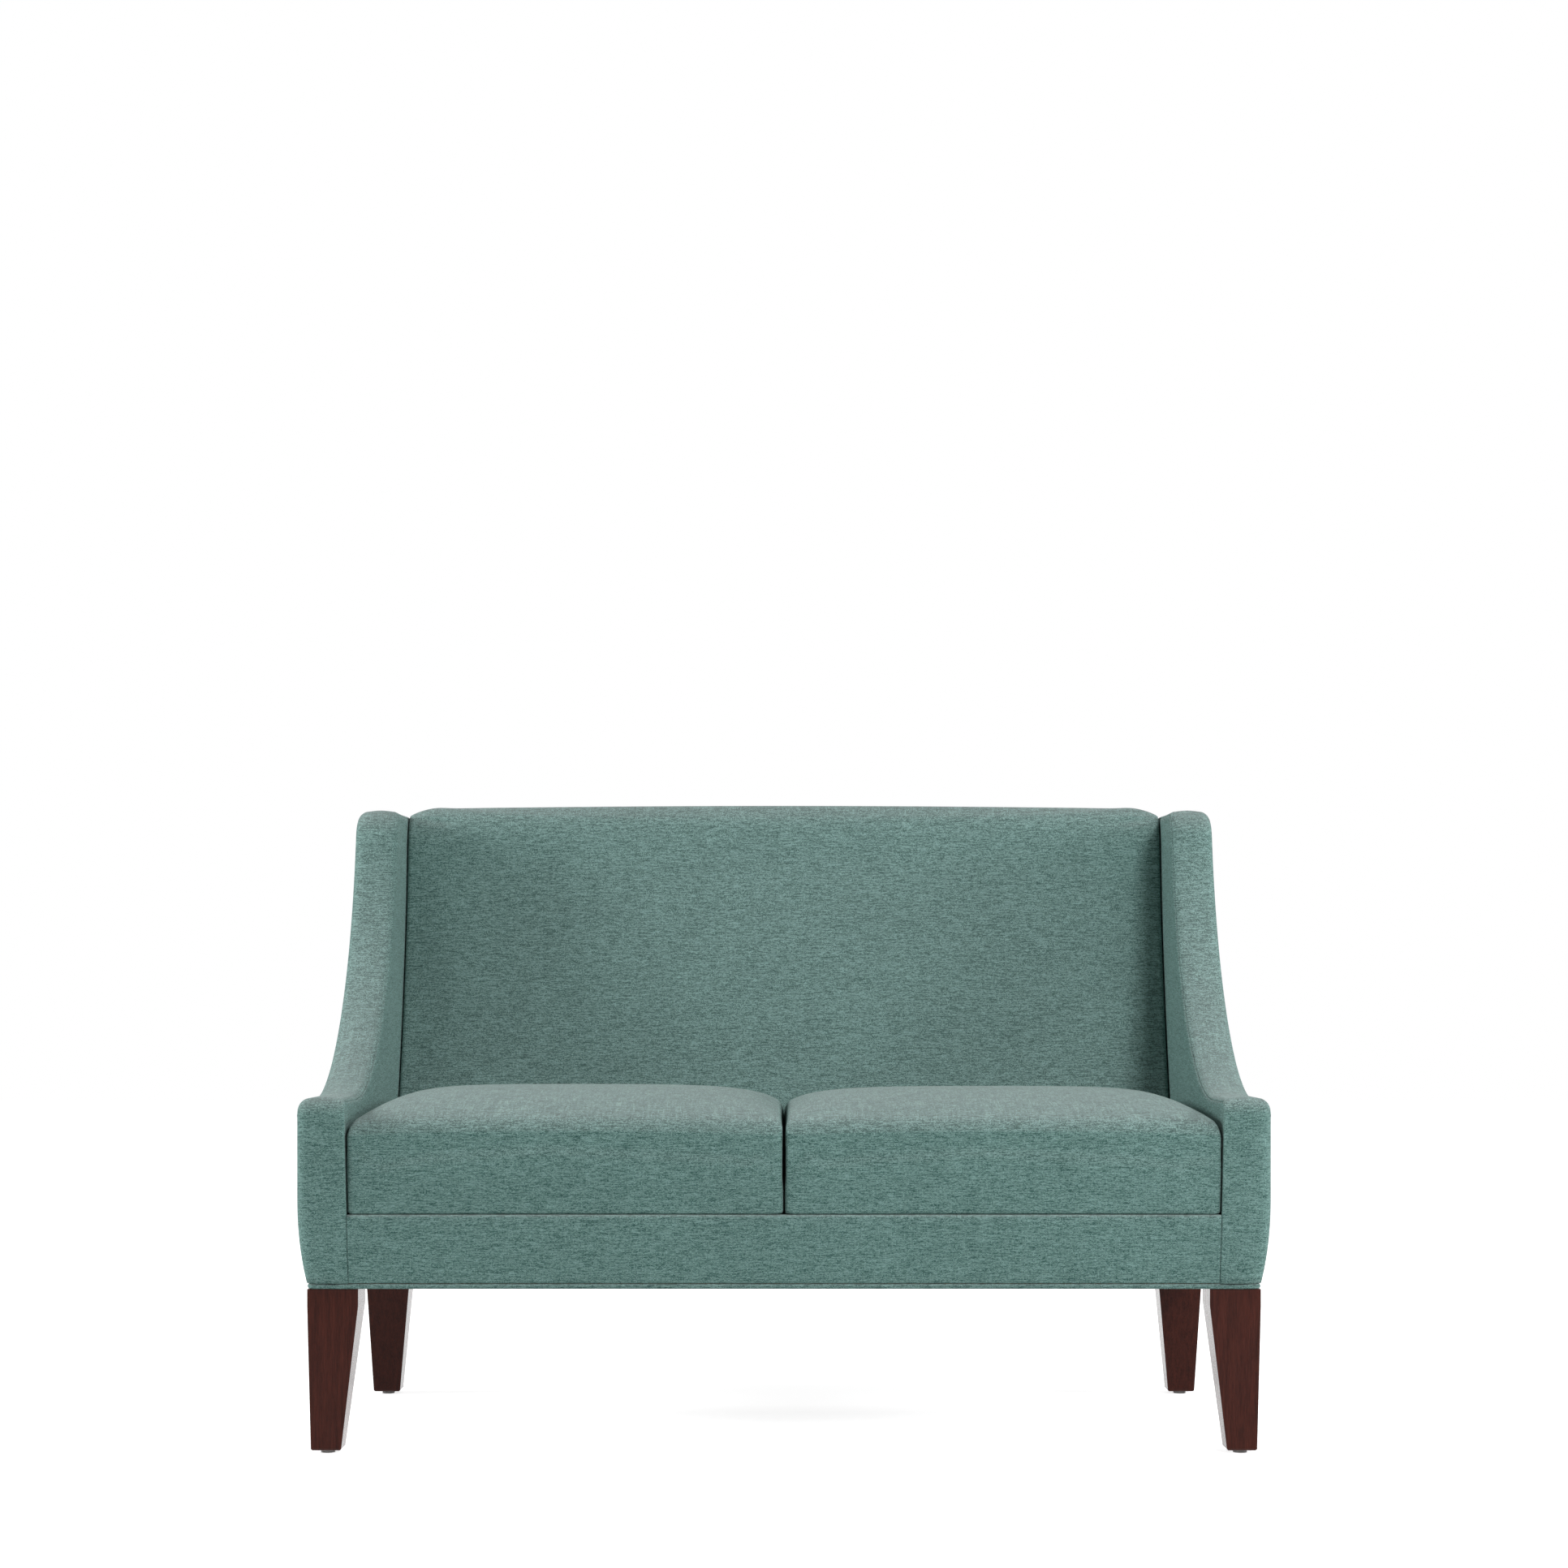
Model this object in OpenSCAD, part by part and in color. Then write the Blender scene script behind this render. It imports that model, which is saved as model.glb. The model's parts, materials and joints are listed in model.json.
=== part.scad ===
// High back settee: two lift-out seat cushions between swept wing arms, a tight padded back
// and four tapered wooden legs. The front of the arms faces -Y and the seats face up.

/* [Overall] */
// Width over both arms
overall_w = 1320; // [1240:10:1440]
// Depth from the arm fronts to the rearmost edge of the wings
overall_d = 760; // [740:5:800]
// Height of the middle of the back
overall_h = 924; // [915:1:950]
// Height of the underside of the body above the floor
body_z = 223; // [190:1:240]

/* [Arms and wings] */
// Thickness of each arm
arm_t = 65; // [62:1:75]
// Height of the flat front part of the arm
arm_h = 481; // [470:1:500]
// Length of the flat front part of the arm
arm_flat = 135; // [120:5:200]
// How far the top of the wing lies below the middle of the back
wing_drop = 16; // [12:1:24]
// Depth of the wing from its nose to its rearmost edge
wing_top_d = 197; // [180:1:210]
// Angle of the wing's front edge at its nose
wing_nose_deg = 76; // [68:1:80]
// Radius of the wing's upper front corner
wing_nose_r = 50; // [40:1:56]
// Radius of the wing's upper rear corner
wing_heel_r = 25; // [20:1:30]
// Radius of the arm's front corner, seen from the side
arm_corner_r = 22; // [18:1:26]
// Rounding of the arm's long edges
arm_edge_r = 12; // [10:0.5:14]
// How far the sweep runs level before it lifts
sweep_low_pull = 180; // [140:5:200]
// How far the sweep runs straight below the nose
sweep_high_pull = 240; // [220:5:260]

/* [Back] */
// Lean of the outside back
outer_rake = 5.2; // [4:0.1:5.6]
// Thickness of the back posts at seat level
post_low_t = 82.2; // [78:0.2:86]
// Thickness of the back posts at their top
post_top_t = 19.1; // [18:0.1:22]
// Distance from the rear of the settee to the back pad at seat level
pad_low_d = 254; // [248:1:256]
// Distance from the rear of the settee to the pad's bend
pad_bend_d = 95; // [92:1:100]
// Height of the pad's bend over the seat frame
pad_bend_h = 316; // [306:1:326]
// Distance from the rear of the settee to the pad's upper edge
pad_high_d = 77; // [75:1:84]
// How far the middle of the back pad stands proud
pad_crown = 18; // [10:1:22]
// How much lower the back is at its ends
crest_drop = 5; // [2:0.5:8]
// Rounding of the pad's ends
pad_end_r = 10; // [6:0.5:10]
// Thickness of the foam slab in the back
back_foam_t = 26; // [20:1:27]

/* [Seat] */
// Height of the top of the front rail, under the cushions
seat_base_z = 324; // [316:1:330]
// Height of the cushion's front top edge
cushion_edge_z = 453; // [440:1:460]
// Rise of the cushion's middle over its rounded edges
cushion_crown = 36; // [25:1:42]
// Rise of the rounding round the cushion's top
cushion_edge_r = 27; // [22:1:32]
// Radius of the cushion's corners, seen from above
cushion_corner_r = 10; // [8:1:20]
// Lean of the cushion's rear side
cushion_rake = 23; // [20:0.5:24]
// Gap between the cushion's underside and the back pad
cushion_back_gap = 3; // [2:0.5:12]
// How far the cushion's sides draw in between its corners
cushion_draw = 2; // [0.5:0.5:4]
// Gap between the two cushions
cushion_gap = 1.8; // [1.2:0.1:4]
// Gap between a cushion and the arm
cushion_side_gap = 0.6; // [0.4:0.1:2]

/* [Legs] */
// Width of a leg at its top
leg_top_w = 69; // [62:1:72]
// Width and depth of a leg at its foot
leg_foot_w = 41; // [34:1:46]
// Depth of a front leg at its top
front_leg_d = 72; // [64:1:78]
// Depth of a rear leg at its top
rear_leg_d = 64; // [58:1:70]
// Setback of the legs from the arm's outer face at the top
leg_set_x = 15; // [10:1:18]
// Slant of a leg's outer side from top to foot
leg_slant_x = 5; // [2:0.5:8]
// Height of the straight block at a leg's top
leg_block_h = 23; // [18:1:28]
// Setback of a front leg from the arm front
front_leg_y = 5; // [3:0.5:9]
// Distance from the rear of the settee to the front of a rear leg's top
rear_leg_set = 183; // [178:1:190]
// How far a rear leg's foot stands behind its top
rear_leg_kick = 56; // [30:1:60]
// Chamfer round a leg's foot
leg_chamfer = 2; // [1:0.5:3]
// Diameter of a glide
glide_dia = 19; // [16:0.5:22]
// Height of a glide
glide_h = 4.5; // [3:0.5:6]

/* [Frame] */
// Thickness of the solid wood rails
rail_t = 22; // [18:1:24]
// Thickness of the plywood arm panels
panel_t = 18; // [15:1:21]
// Foam round the edge of the arm panel
edge_foam_t = 12; // [10:0.5:14]
// Thickness of the covers
cover_t = 2; // [1.5:0.1:2.5]
// Thickness of the elastic webbing
web_t = 2; // [1.5:0.1:2.5]
// Width of a seat webbing strap
seat_web_w = 70; // [60:1:80]
// Width of a back webbing strap
back_web_w = 58; // [50:1:64]
// Thickness of the decking felt
deck_t = 3.7; // [3:0.1:4.5]
// Diameter of the bottom welt
welt_dia = 7.6; // [6:0.2:8]
// Diameter of the leg and arm bolts
bolt_dia = 8; // [6:1:8]
// Diameter of the dowels
dowel_dia = 8; // [6:1:10]

/* [Hidden] */

$fn = 48;
// Overrun of every cut past the face that it opens
over = 1;
// Gap left where a soft solid lies on another body
soft_gap = 0.3;
// Clearance round a bolt, dowel or nail in its hole
bore_gap = 0.1;
// Clearance between slanting faces that lie on each other
slant_gap = 0.05;

// Places across the settee, measured from its middle
arm_in_x = overall_w / 2 - arm_t;
arm_out_x = overall_w / 2;
rail_in_x = arm_in_x - rail_t;
panel_in_x = arm_in_x + (arm_t - panel_t) / 2;
panel_out_x = panel_in_x + panel_t;
base_in_x = arm_in_x + cover_t;

// Places and heights that follow the overall sizes
wing_h = overall_h - wing_drop;
wing_nose_y = overall_d - wing_top_d;
pad_low_y = overall_d - pad_low_d;
pad_bend_y = overall_d - pad_bend_d;
pad_bend_z = seat_base_z + pad_bend_h;
pad_high_y = overall_d - pad_high_d;
rear_leg_y = overall_d - rear_leg_set;
dust_t = 1;
board_t = 3;
lap_t = board_t + cover_t;
// Height of the pad's rolled top
roll_h = 52;
// Rise of the back frame into the rolled top
frame_rise = 13;
wood_z = body_z + dust_t;
cloth_z = body_z + welt_dia + soft_gap;
rail_top_z = seat_base_z - soft_gap - deck_t - 2 * web_t;
side_top_z = rail_top_z + web_t;
deck_top_z = seat_base_z - soft_gap;
pad_low_z = seat_base_z;
pad_high_z = overall_h - roll_h;
frame_top_z = pad_high_z + frame_rise;
cushion_front_y = cushion_draw;

// Depth of the outside back, of the back frame's front and of the seat cushion's rear at height z
function outside_y(z) = overall_d + wing_heel_r * (1 / cos(outer_rake) - 1)
  - (wing_h - wing_heel_r - z) * tan(outer_rake);
frame_y = outside_y(seat_base_z) - lap_t - post_low_t;
frame_top_y = outside_y(frame_top_z) - lap_t - post_top_t;
frame_rake = atan((frame_top_y - frame_y) / (frame_top_z - seat_base_z));
function frame_front_y(z) = frame_y + (z - seat_base_z) * tan(frame_rake);
function foam_rear_y(z) = frame_front_y(z) - web_t - 2 * slant_gap;
function foam_front_y(z) = foam_rear_y(z) - back_foam_t;
function cushion_rear_y(z) = pad_low_y - cushion_back_gap + (z - seat_base_z) * tan(cushion_rake);

// Points of an arc about a centre, from one angle to another
function arc(centre, r, from, to, steps) =
  [for (k = [0:steps]) let (a = from + (to - from) * k / steps) centre + r * [cos(a), sin(a)]];
function bezier(a, b, c, d, steps) =
  [for (k = [1:steps]) let (t = k / steps, u = 1 - t)
    u * u * u * a + 3 * u * u * t * b + 3 * u * t * t * c + t * t * t * d];
function blend_three(a, b, c, t) = (1 - t) * (1 - t) * a + 2 * (1 - t) * t * b + t * t * c;

// The arm's edge in depth and height, from the bottom of its front over the wing to the bottom
// of its rear
nose_from = [wing_nose_y, wing_h - wing_nose_r * (1 - cos(wing_nose_deg))];
nose_centre = nose_from + wing_nose_r * [sin(wing_nose_deg), -cos(wing_nose_deg)];
heel_centre = [overall_d - wing_heel_r, wing_h - wing_heel_r];
sweep_steps = 12;
arc_steps = 4;
function arm_edge(low_z) = concat(
  [[0, low_z]],
  arc([arm_corner_r, arm_h - arm_corner_r], arm_corner_r, 180, 90, arc_steps),
  [[arm_flat, arm_h]],
  bezier([arm_flat, arm_h], [arm_flat + sweep_low_pull, arm_h],
    nose_from - sweep_high_pull * [cos(wing_nose_deg), sin(wing_nose_deg)], nose_from, sweep_steps),
  [for (k = [1:arc_steps]) let (a = 90 + wing_nose_deg * (1 - k / arc_steps))
    nose_centre + wing_nose_r * [cos(a), sin(a)]],
  arc(heel_centre, wing_heel_r, 90, 0, arc_steps),
  [heel_centre + wing_heel_r * [cos(outer_rake), -sin(outer_rake)]],
  [[outside_y(low_z), low_z]]);

// Outward direction of each corner of the arm's edge, long enough that the edge moves by one
// when the corner moves by it
function left_of(a, b) = let (d = (b - a) / norm(b - a)) [-d[1], d[0]];
function corner_push(edge, i) =
  i == 0 ? [1 / left_of(edge[0], edge[1])[0], 0]
  : i == len(edge) - 1 ? [1 / left_of(edge[i - 1], edge[i])[0], 0]
  : let (a = left_of(edge[i - 1], edge[i]), b = left_of(edge[i], edge[i + 1])) (a + b) / (1 + a * b);
function inset_edge(edge, inset) = [for (i = [0:len(edge) - 1]) edge[i] - inset * corner_push(edge, i)];
function at_x(points, x) = [for (p = points) [x, p[0], p[1]]];

// A closed solid through a row of rings with equally many points, which turn to the left as
// seen from the row's end. Its two ends are closed by the faces of cap, given for one ring.
module loft(rings, cap) {
  n = len(rings[0]);
  last = len(rings) - 1;
  sides = [for (j = [0:last - 1], i = [0:n - 1])
    let (a = j * n + i, b = j * n + (i + 1) % n) [a, a + n, b + n, b]];
  far_cap = [for (face = cap) [for (i = [len(face) - 1:-1:0]) last * n + face[i]]];
  polyhedron([for (ring = rings) each ring], concat(sides, cap, far_cap), convexity = 8);
}
// A cap of triangles from one point of the ring, from which all the others can be seen
function fan(n, hub) = [for (i = [1:n - 2]) [hub, (hub + i) % n, (hub + i + 1) % n]];
module on_side(side) {
  if (side < 0) mirror([1, 0, 0]) children();
  else children();
}
// Moves the front of the settee from depth zero to its place before the origin
module in_place() {
  translate([0, -overall_d / 2, 0]) children();
}
// A flat outline in depth and height, made solid from one place across to another
module across(x_from, x_to) {
  translate([x_from, 0, 0]) rotate([90, 0, 90]) linear_extrude(x_to - x_from) children();
}
module block(from, to) {
  translate(from) cube(to - from);
}

// Frame of the seat
front_padding_t = 10;
front_rail_y = cover_t + front_padding_t;
side_rail_y = front_rail_y + rail_t;
rear_rail_y = outside_y(wood_z) - welt_dia - dust_t - rail_t;
post_low_y = frame_front_y(cloth_z);
dowel_len = 36;
dowel_sink = 14;
// Heights of the lower and the upper dowel of a joint, as shares of the rail
dowel_share = [0.28, 0.72];
function dowel_z(k) = wood_z + (rail_top_z - wood_z) * dowel_share[k];
module dowel_y(x, y, z, gap) {
  translate([x, y - dowel_sink - gap, z]) rotate([-90, 0, 0])
    cylinder(d = dowel_dia + 2 * gap, h = dowel_len + 2 * gap);
}
module dowel_x(x, y, z, gap) {
  translate([x - dowel_len + dowel_sink - gap, y, z]) rotate([0, 90, 0])
    cylinder(d = dowel_dia + 2 * gap, h = dowel_len + 2 * gap);
}
module rail_dowel_set(gap) {
  for (k = [0, 1]) {
    for (side = [-1, 1]) {
      dowel_y(side * (rail_in_x + rail_t / 2), side_rail_y, dowel_z(k), gap);
      on_side(side) dowel_x(rail_in_x, rear_rail_y + rail_t / 2, dowel_z(k), gap);
    }
    dowel_y(0, side_rail_y, dowel_z(k), gap);
    dowel_y(0, rear_rail_y - dowel_len + 2 * dowel_sink, dowel_z(k), gap);
  }
}
module front_rail() {
  color("burlywood") in_place() difference() {
    block([-arm_in_x, front_rail_y, wood_z], [arm_in_x, side_rail_y, rail_top_z]);
    rail_dowel_set(bore_gap);
  }
}
module rear_rail() {
  color("burlywood") in_place() difference() {
    block([-rail_in_x, rear_rail_y, wood_z], [rail_in_x, rear_rail_y + rail_t, rail_top_z]);
    rail_dowel_set(bore_gap);
  }
}
module side_rail(side) {
  color("tan") in_place() on_side(side) difference() {
    block([rail_in_x, side_rail_y, wood_z], [arm_in_x, post_low_y, side_top_z]);
    rail_dowel_set(bore_gap);
    arm_bolt_holes();
  }
}
module centre_rail() {
  color("tan") in_place() difference() {
    block([-rail_t / 2, side_rail_y, wood_z], [rail_t / 2, rear_rail_y, rail_top_z]);
    rail_dowel_set(bore_gap);
  }
}
module rail_dowels() {
  color("wheat") in_place() rail_dowel_set(0);
}
corner_block_w = 62;
corner_block_drop = 12;
module corner_blocks() {
  low = wood_z + corner_block_drop;
  high = rail_top_z - corner_block_drop;
  color("peru") in_place() for (side = [-1, 1]) on_side(side) {
    translate([0, 0, low]) linear_extrude(high - low)
      polygon([[rail_in_x, side_rail_y], [rail_in_x - corner_block_w, side_rail_y],
        [rail_in_x, side_rail_y + corner_block_w]]);
    translate([0, 0, low]) linear_extrude(high - low)
      polygon([[rail_in_x, rear_rail_y], [rail_in_x, rear_rail_y - corner_block_w],
        [rail_in_x - corner_block_w, rear_rail_y]]);
  }
}

// Bolts that hold each upholstered arm to the seat frame and to the back post
bolt_head_dia = 16;
bolt_head_h = 5;
bolt_end_gap = 2;
nut_flange_dia = 20;
nut_flange_t = 1.5;
nut_barrel_dia = 11;
nut_barrel_len = 12;
arm_bolt_front_y = 140;
// Distance of the second bolt from the back frame
arm_bolt_set = 122;
arm_bolt_rear_y = frame_y - arm_bolt_set;
arm_bolt_drop = 38;
arm_bolt_back_z = 600;
arm_bolt_spots = [[arm_bolt_front_y, rail_top_z - arm_bolt_drop],
  [arm_bolt_rear_y, rail_top_z - arm_bolt_drop],
  [(frame_front_y(arm_bolt_back_z) + outside_y(arm_bolt_back_z) - lap_t) / 2, arm_bolt_back_z]];
module rod_x(spot, from_x, to_x, dia) {
  translate([from_x, spot[0], spot[1]]) rotate([0, 90, 0]) cylinder(d = dia, h = to_x - from_x);
}
module arm_bolt_holes() {
  for (spot = arm_bolt_spots)
    rod_x(spot, rail_in_x - over, panel_in_x + over, bolt_dia + 2 * bore_gap);
}
module arm_bolts() {
  color("silver") in_place() for (side = [-1, 1], spot = arm_bolt_spots) on_side(side) {
    rod_x(spot, rail_in_x - bolt_head_h, rail_in_x, bolt_head_dia);
    rod_x(spot, rail_in_x - bolt_head_h / 2, panel_out_x - bolt_end_gap, bolt_dia);
  }
}
module arm_tee_nuts() {
  nut_in_x = panel_out_x - nut_flange_t - nut_barrel_len;
  color("gray") in_place() for (side = [-1, 1], spot = arm_bolt_spots) on_side(side) difference() {
    union() {
      rod_x(spot, panel_out_x - nut_flange_t, panel_out_x, nut_flange_dia);
      rod_x(spot, nut_in_x, panel_out_x - nut_flange_t / 2, nut_barrel_dia);
    }
    rod_x(spot, panel_in_x, panel_out_x + over, bolt_dia + 2 * bore_gap);
  }
}

// Wooden parts inside the arms
panel_inset = cover_t + edge_foam_t;
module panel_outline() {
  polygon(inset_edge(arm_edge(wood_z), panel_inset));
}
arm_base_h = 40;
arm_base_rear = outside_y(wood_z) - panel_inset / cos(outer_rake);
module arm_panel_body() {
  across(panel_in_x, panel_out_x) panel_outline();
}
module arm_base_body() {
  block([base_in_x, panel_inset, wood_z], [panel_in_x, arm_base_rear, wood_z + arm_base_h]);
}
module arm_panel(side) {
  color("navajowhite") in_place() on_side(side) difference() {
    arm_panel_body();
    for (spot = arm_bolt_spots) {
      rod_x(spot, panel_in_x - over, panel_out_x + over, nut_barrel_dia);
      rod_x(spot, panel_out_x - nut_flange_t, panel_out_x + over, nut_flange_dia);
    }
  }
}
insert_dia = 12;
insert_len = 20;
leg_bolt_up = 36;
leg_bolt_down = 34;
leg_bolt_x = (base_in_x + panel_in_x) / 2;
leg_bolt_spots = [[leg_bolt_x, front_leg_y + front_leg_d / 2],
  [leg_bolt_x, rear_leg_y + rear_leg_d / 2]];
module leg_bolt_set(gap) {
  for (spot = leg_bolt_spots)
    translate([spot[0], spot[1], body_z - leg_bolt_down - gap])
      cylinder(d = bolt_dia + 2 * gap, h = leg_bolt_down + leg_bolt_up + 2 * gap);
}
module insert_set() {
  for (spot = leg_bolt_spots)
    translate([spot[0], spot[1], wood_z]) cylinder(d = insert_dia, h = insert_len);
}
module arm_base(side) {
  color("peru") in_place() on_side(side) difference() {
    arm_base_body();
    leg_bolt_set(bore_gap);
    insert_set();
  }
}
module leg_bolts() {
  color("silver") in_place() for (side = [-1, 1]) on_side(side) leg_bolt_set(0);
}
module leg_inserts() {
  color("goldenrod") in_place() for (side = [-1, 1]) on_side(side) difference() {
    insert_set();
    leg_bolt_set(bore_gap);
  }
}

// Soft parts and covers of the arms
function edge_x(inner, wall, a) = inner ? arm_in_x + arm_edge_r - (arm_edge_r - wall) * cos(a)
  : arm_out_x - arm_edge_r + (arm_edge_r - wall) * cos(a);
function edge_in(wall, a) = arm_edge_r - (arm_edge_r - wall) * sin(a);
round_steps = 3;
module arm_foam(side) {
  edge = arm_edge(cloth_z);
  outer = [for (k = [0:round_steps]) let (a = 90 * k / round_steps)
    at_x(inset_edge(edge, edge_in(cover_t, a)), edge_x(false, cover_t, a))];
  inner = [for (k = [round_steps:-1:0]) let (a = 90 * k / round_steps)
    at_x(inset_edge(edge, edge_in(cover_t, a)), edge_x(true, cover_t, a))];
  color("khaki") in_place() on_side(side) difference() {
    loft(concat(outer, inner), fan(len(edge), len(edge) - 1));
    arm_panel_body();
    arm_base_body();
    arm_bolt_holes();
  }
}
module side_cover(from_x) {
  across(from_x, from_x + cover_t) polygon(inset_edge(arm_edge(cloth_z), arm_edge_r));
}
module inside_arm_cover(side) {
  color("cadetblue") in_place() on_side(side) difference() {
    side_cover(arm_in_x);
    arm_bolt_holes();
  }
}
module outside_arm_cover(side) {
  color("cadetblue") in_place() on_side(side) side_cover(arm_out_x - cover_t);
}
module arm_band(side) {
  edge = arm_edge(cloth_z);
  up = [for (k = [0:round_steps]) 90 * k / round_steps];
  down = [for (k = [round_steps:-1:0]) 90 * k / round_steps];
  section = concat(
    [for (a = up) [edge_x(true, 0, a), edge_in(0, a)]],
    [for (a = down) [edge_x(false, 0, a), edge_in(0, a)]],
    [for (a = up) [edge_x(false, cover_t, a), edge_in(cover_t, a)]],
    [for (a = down) [edge_x(true, cover_t, a), edge_in(cover_t, a)]]);
  rings = [for (i = [0:len(edge) - 1]) let (push = corner_push(edge, i))
    [for (s = section) [s[0], edge[i][0] - s[1] * push[0], edge[i][1] - s[1] * push[1]]]];
  half = len(section) / 2;
  cap = [for (k = [0:half - 2]) [k, k + 1, 2 * half - 2 - k, 2 * half - 1 - k]];
  color("steelblue") in_place() on_side(side) loft(rings, cap);
}

// Frame of the back
module frame_profile(low_z, high_z, front_shift) {
  back = lap_t + slant_gap;
  polygon([[frame_front_y(low_z) + front_shift, low_z], [outside_y(low_z) - back, low_z],
    [outside_y(high_z) - back, high_z], [frame_front_y(high_z) + front_shift, high_z]]);
}
top_rail_h = 70;
top_rail_z = frame_top_z - top_rail_h;
back_dowel_spots = [[(frame_front_y(top_rail_z + top_rail_h / 2) + outside_y(top_rail_z + top_rail_h / 2)
  - lap_t) / 2, top_rail_z + top_rail_h / 2]];
module back_dowel_set(gap) {
  for (spot = back_dowel_spots, side = [-1, 1]) on_side(side) dowel_x(rail_in_x, spot[0], spot[1], gap);
}
module back_post(side) {
  color("burlywood") in_place() on_side(side) difference() {
    across(rail_in_x, arm_in_x) frame_profile(cloth_z, frame_top_z, 0);
    rail_dowel_set(bore_gap);
    back_dowel_set(bore_gap);
    arm_bolt_holes();
  }
}
module back_centre_post() {
  color("tan") in_place() across(-rail_t / 2, rail_t / 2) frame_profile(rail_top_z, top_rail_z, 0);
}
module back_top_rail() {
  color("burlywood") in_place() difference() {
    across(-rail_in_x, rail_in_x) frame_profile(top_rail_z, frame_top_z, 0);
    back_dowel_set(bore_gap);
  }
}
module back_dowels() {
  color("wheat") in_place() back_dowel_set(0);
}

// Webbing, decking and the dust cover
seat_straps = 3;
strap_front_y = front_rail_y + web_t;
strap_rear_y = rear_rail_y + rail_t - web_t;
module seat_webbing_long() {
  pitch = (rail_in_x - rail_t / 2) / seat_straps;
  color("dimgray") in_place() for (side = [-1, 1], k = [0:seat_straps - 1])
    on_side(side) translate([rail_t / 2 + pitch * (k + 1 / 2), 0, 0])
      block([-seat_web_w / 2, strap_front_y, rail_top_z], [seat_web_w / 2, strap_rear_y, side_top_z]);
}
cross_straps = 3;
module seat_webbing_cross() {
  pitch = (post_low_y - side_rail_y) / cross_straps;
  color("slategray") in_place() for (k = [0:cross_straps - 1])
    translate([0, side_rail_y + pitch * (k + 1 / 2), 0])
      block([-arm_in_x, -seat_web_w / 2, side_top_z], [arm_in_x, seat_web_w / 2, side_top_z + web_t]);
}
deck_front_y = side_rail_y + web_t;
deck_rear_y = frame_front_y(side_top_z) - web_t;
module seat_deck() {
  color("dimgray") in_place()
    block([-arm_in_x, deck_front_y, side_top_z + web_t], [arm_in_x, deck_rear_y, deck_top_z]);
}
module dust_cover() {
  edge_x = arm_out_x - welt_dia - dust_t;
  color("black") in_place() difference() {
    block([-edge_x, welt_dia + dust_t, body_z], [edge_x, outside_y(body_z) - welt_dia - dust_t, wood_z]);
    for (side = [-1, 1], spot = leg_bolt_spots)
      translate([side * spot[0], spot[1], body_z - over]) cylinder(d = insert_dia, h = dust_t + 2 * over);
  }
}

// Back pad
back_straps = 6;
function strap_y(z) = frame_front_y(z) - slant_gap;
module back_webbing() {
  low = seat_base_z + back_web_w;
  pitch = (top_rail_z + back_web_w / 2 - low) / back_straps;
  color("dimgray") in_place() for (k = [0:back_straps - 1]) {
    z_low = low + pitch * k;
    z_high = z_low + back_web_w * cos(frame_rake);
    across(-arm_in_x + web_t, arm_in_x - web_t)
      polygon([[strap_y(z_low) - web_t, z_low], [strap_y(z_low), z_low],
        [strap_y(z_high), z_high], [strap_y(z_high) - web_t, z_high]]);
  }
}
pad_end_x = arm_in_x - cushion_side_gap;
foam_top_z = frame_top_z - slant_gap;
back_foam_x = pad_end_x - pad_end_r;
module back_foam() {
  color("khaki") in_place() across(-back_foam_x, back_foam_x)
    polygon([[foam_front_y(pad_low_z), pad_low_z], [foam_rear_y(pad_low_z), pad_low_z],
      [foam_rear_y(foam_top_z), foam_top_z], [foam_front_y(foam_top_z), foam_top_z]]);
}
front_steps = 9;
roll_steps = 8;
// Where along the pad's front the crown begins, as a share of its height, and how flat it is
crown_from_share = 0.15;
crown_power = 2.5;
function crown_at(x) = pad_crown * (1 - pow(abs(x) / pad_end_x, crown_power));
function end_pull(x) = let (d = max(0, abs(x) - (pad_end_x - pad_end_r)))
  pad_end_r - sqrt(max(0, pad_end_r * pad_end_r - d * d));
function pad_profile(x) = let (pull = end_pull(x), crown = crown_at(x),
    roll_front = pad_high_y + pull, roll_rear = outside_y(pad_high_z),
    roll_half = (roll_rear - roll_front) / 2, roll_mid = (roll_rear + roll_front) / 2,
    roll_top = overall_h - crest_drop * pow(x / pad_end_x, 2) - pull,
    share = function (t) sin(180 * max(0, (t - crown_from_share) / (1 - crown_from_share))))
  concat(
    [for (k = [0:front_steps]) let (t = k / front_steps)
      blend_three([pad_low_y, pad_low_z], [pad_bend_y, pad_bend_z], [pad_high_y, pad_high_z], t)
        + [pull - crown * share(t), 0]],
    [for (k = [1:roll_steps]) let (a = 180 - 180 * k / roll_steps)
      [roll_mid + roll_half * cos(a), pad_high_z + (roll_top - pad_high_z) * sin(a)]],
    [for (k = [front_steps:-1:0]) let (z = pad_low_z + (pad_high_z - pad_low_z) * k / front_steps)
      [foam_front_y(z) - slant_gap, z]]);
pad_points = 2 * front_steps + roll_steps + 2;
pad_cap = concat(
  [for (k = [0:front_steps - 1]) [k, k + 1, pad_points - 2 - k, pad_points - 1 - k]],
  [for (k = [front_steps:front_steps + roll_steps - 1]) [k, k + 1, front_steps + roll_steps + 1]]);
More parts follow.
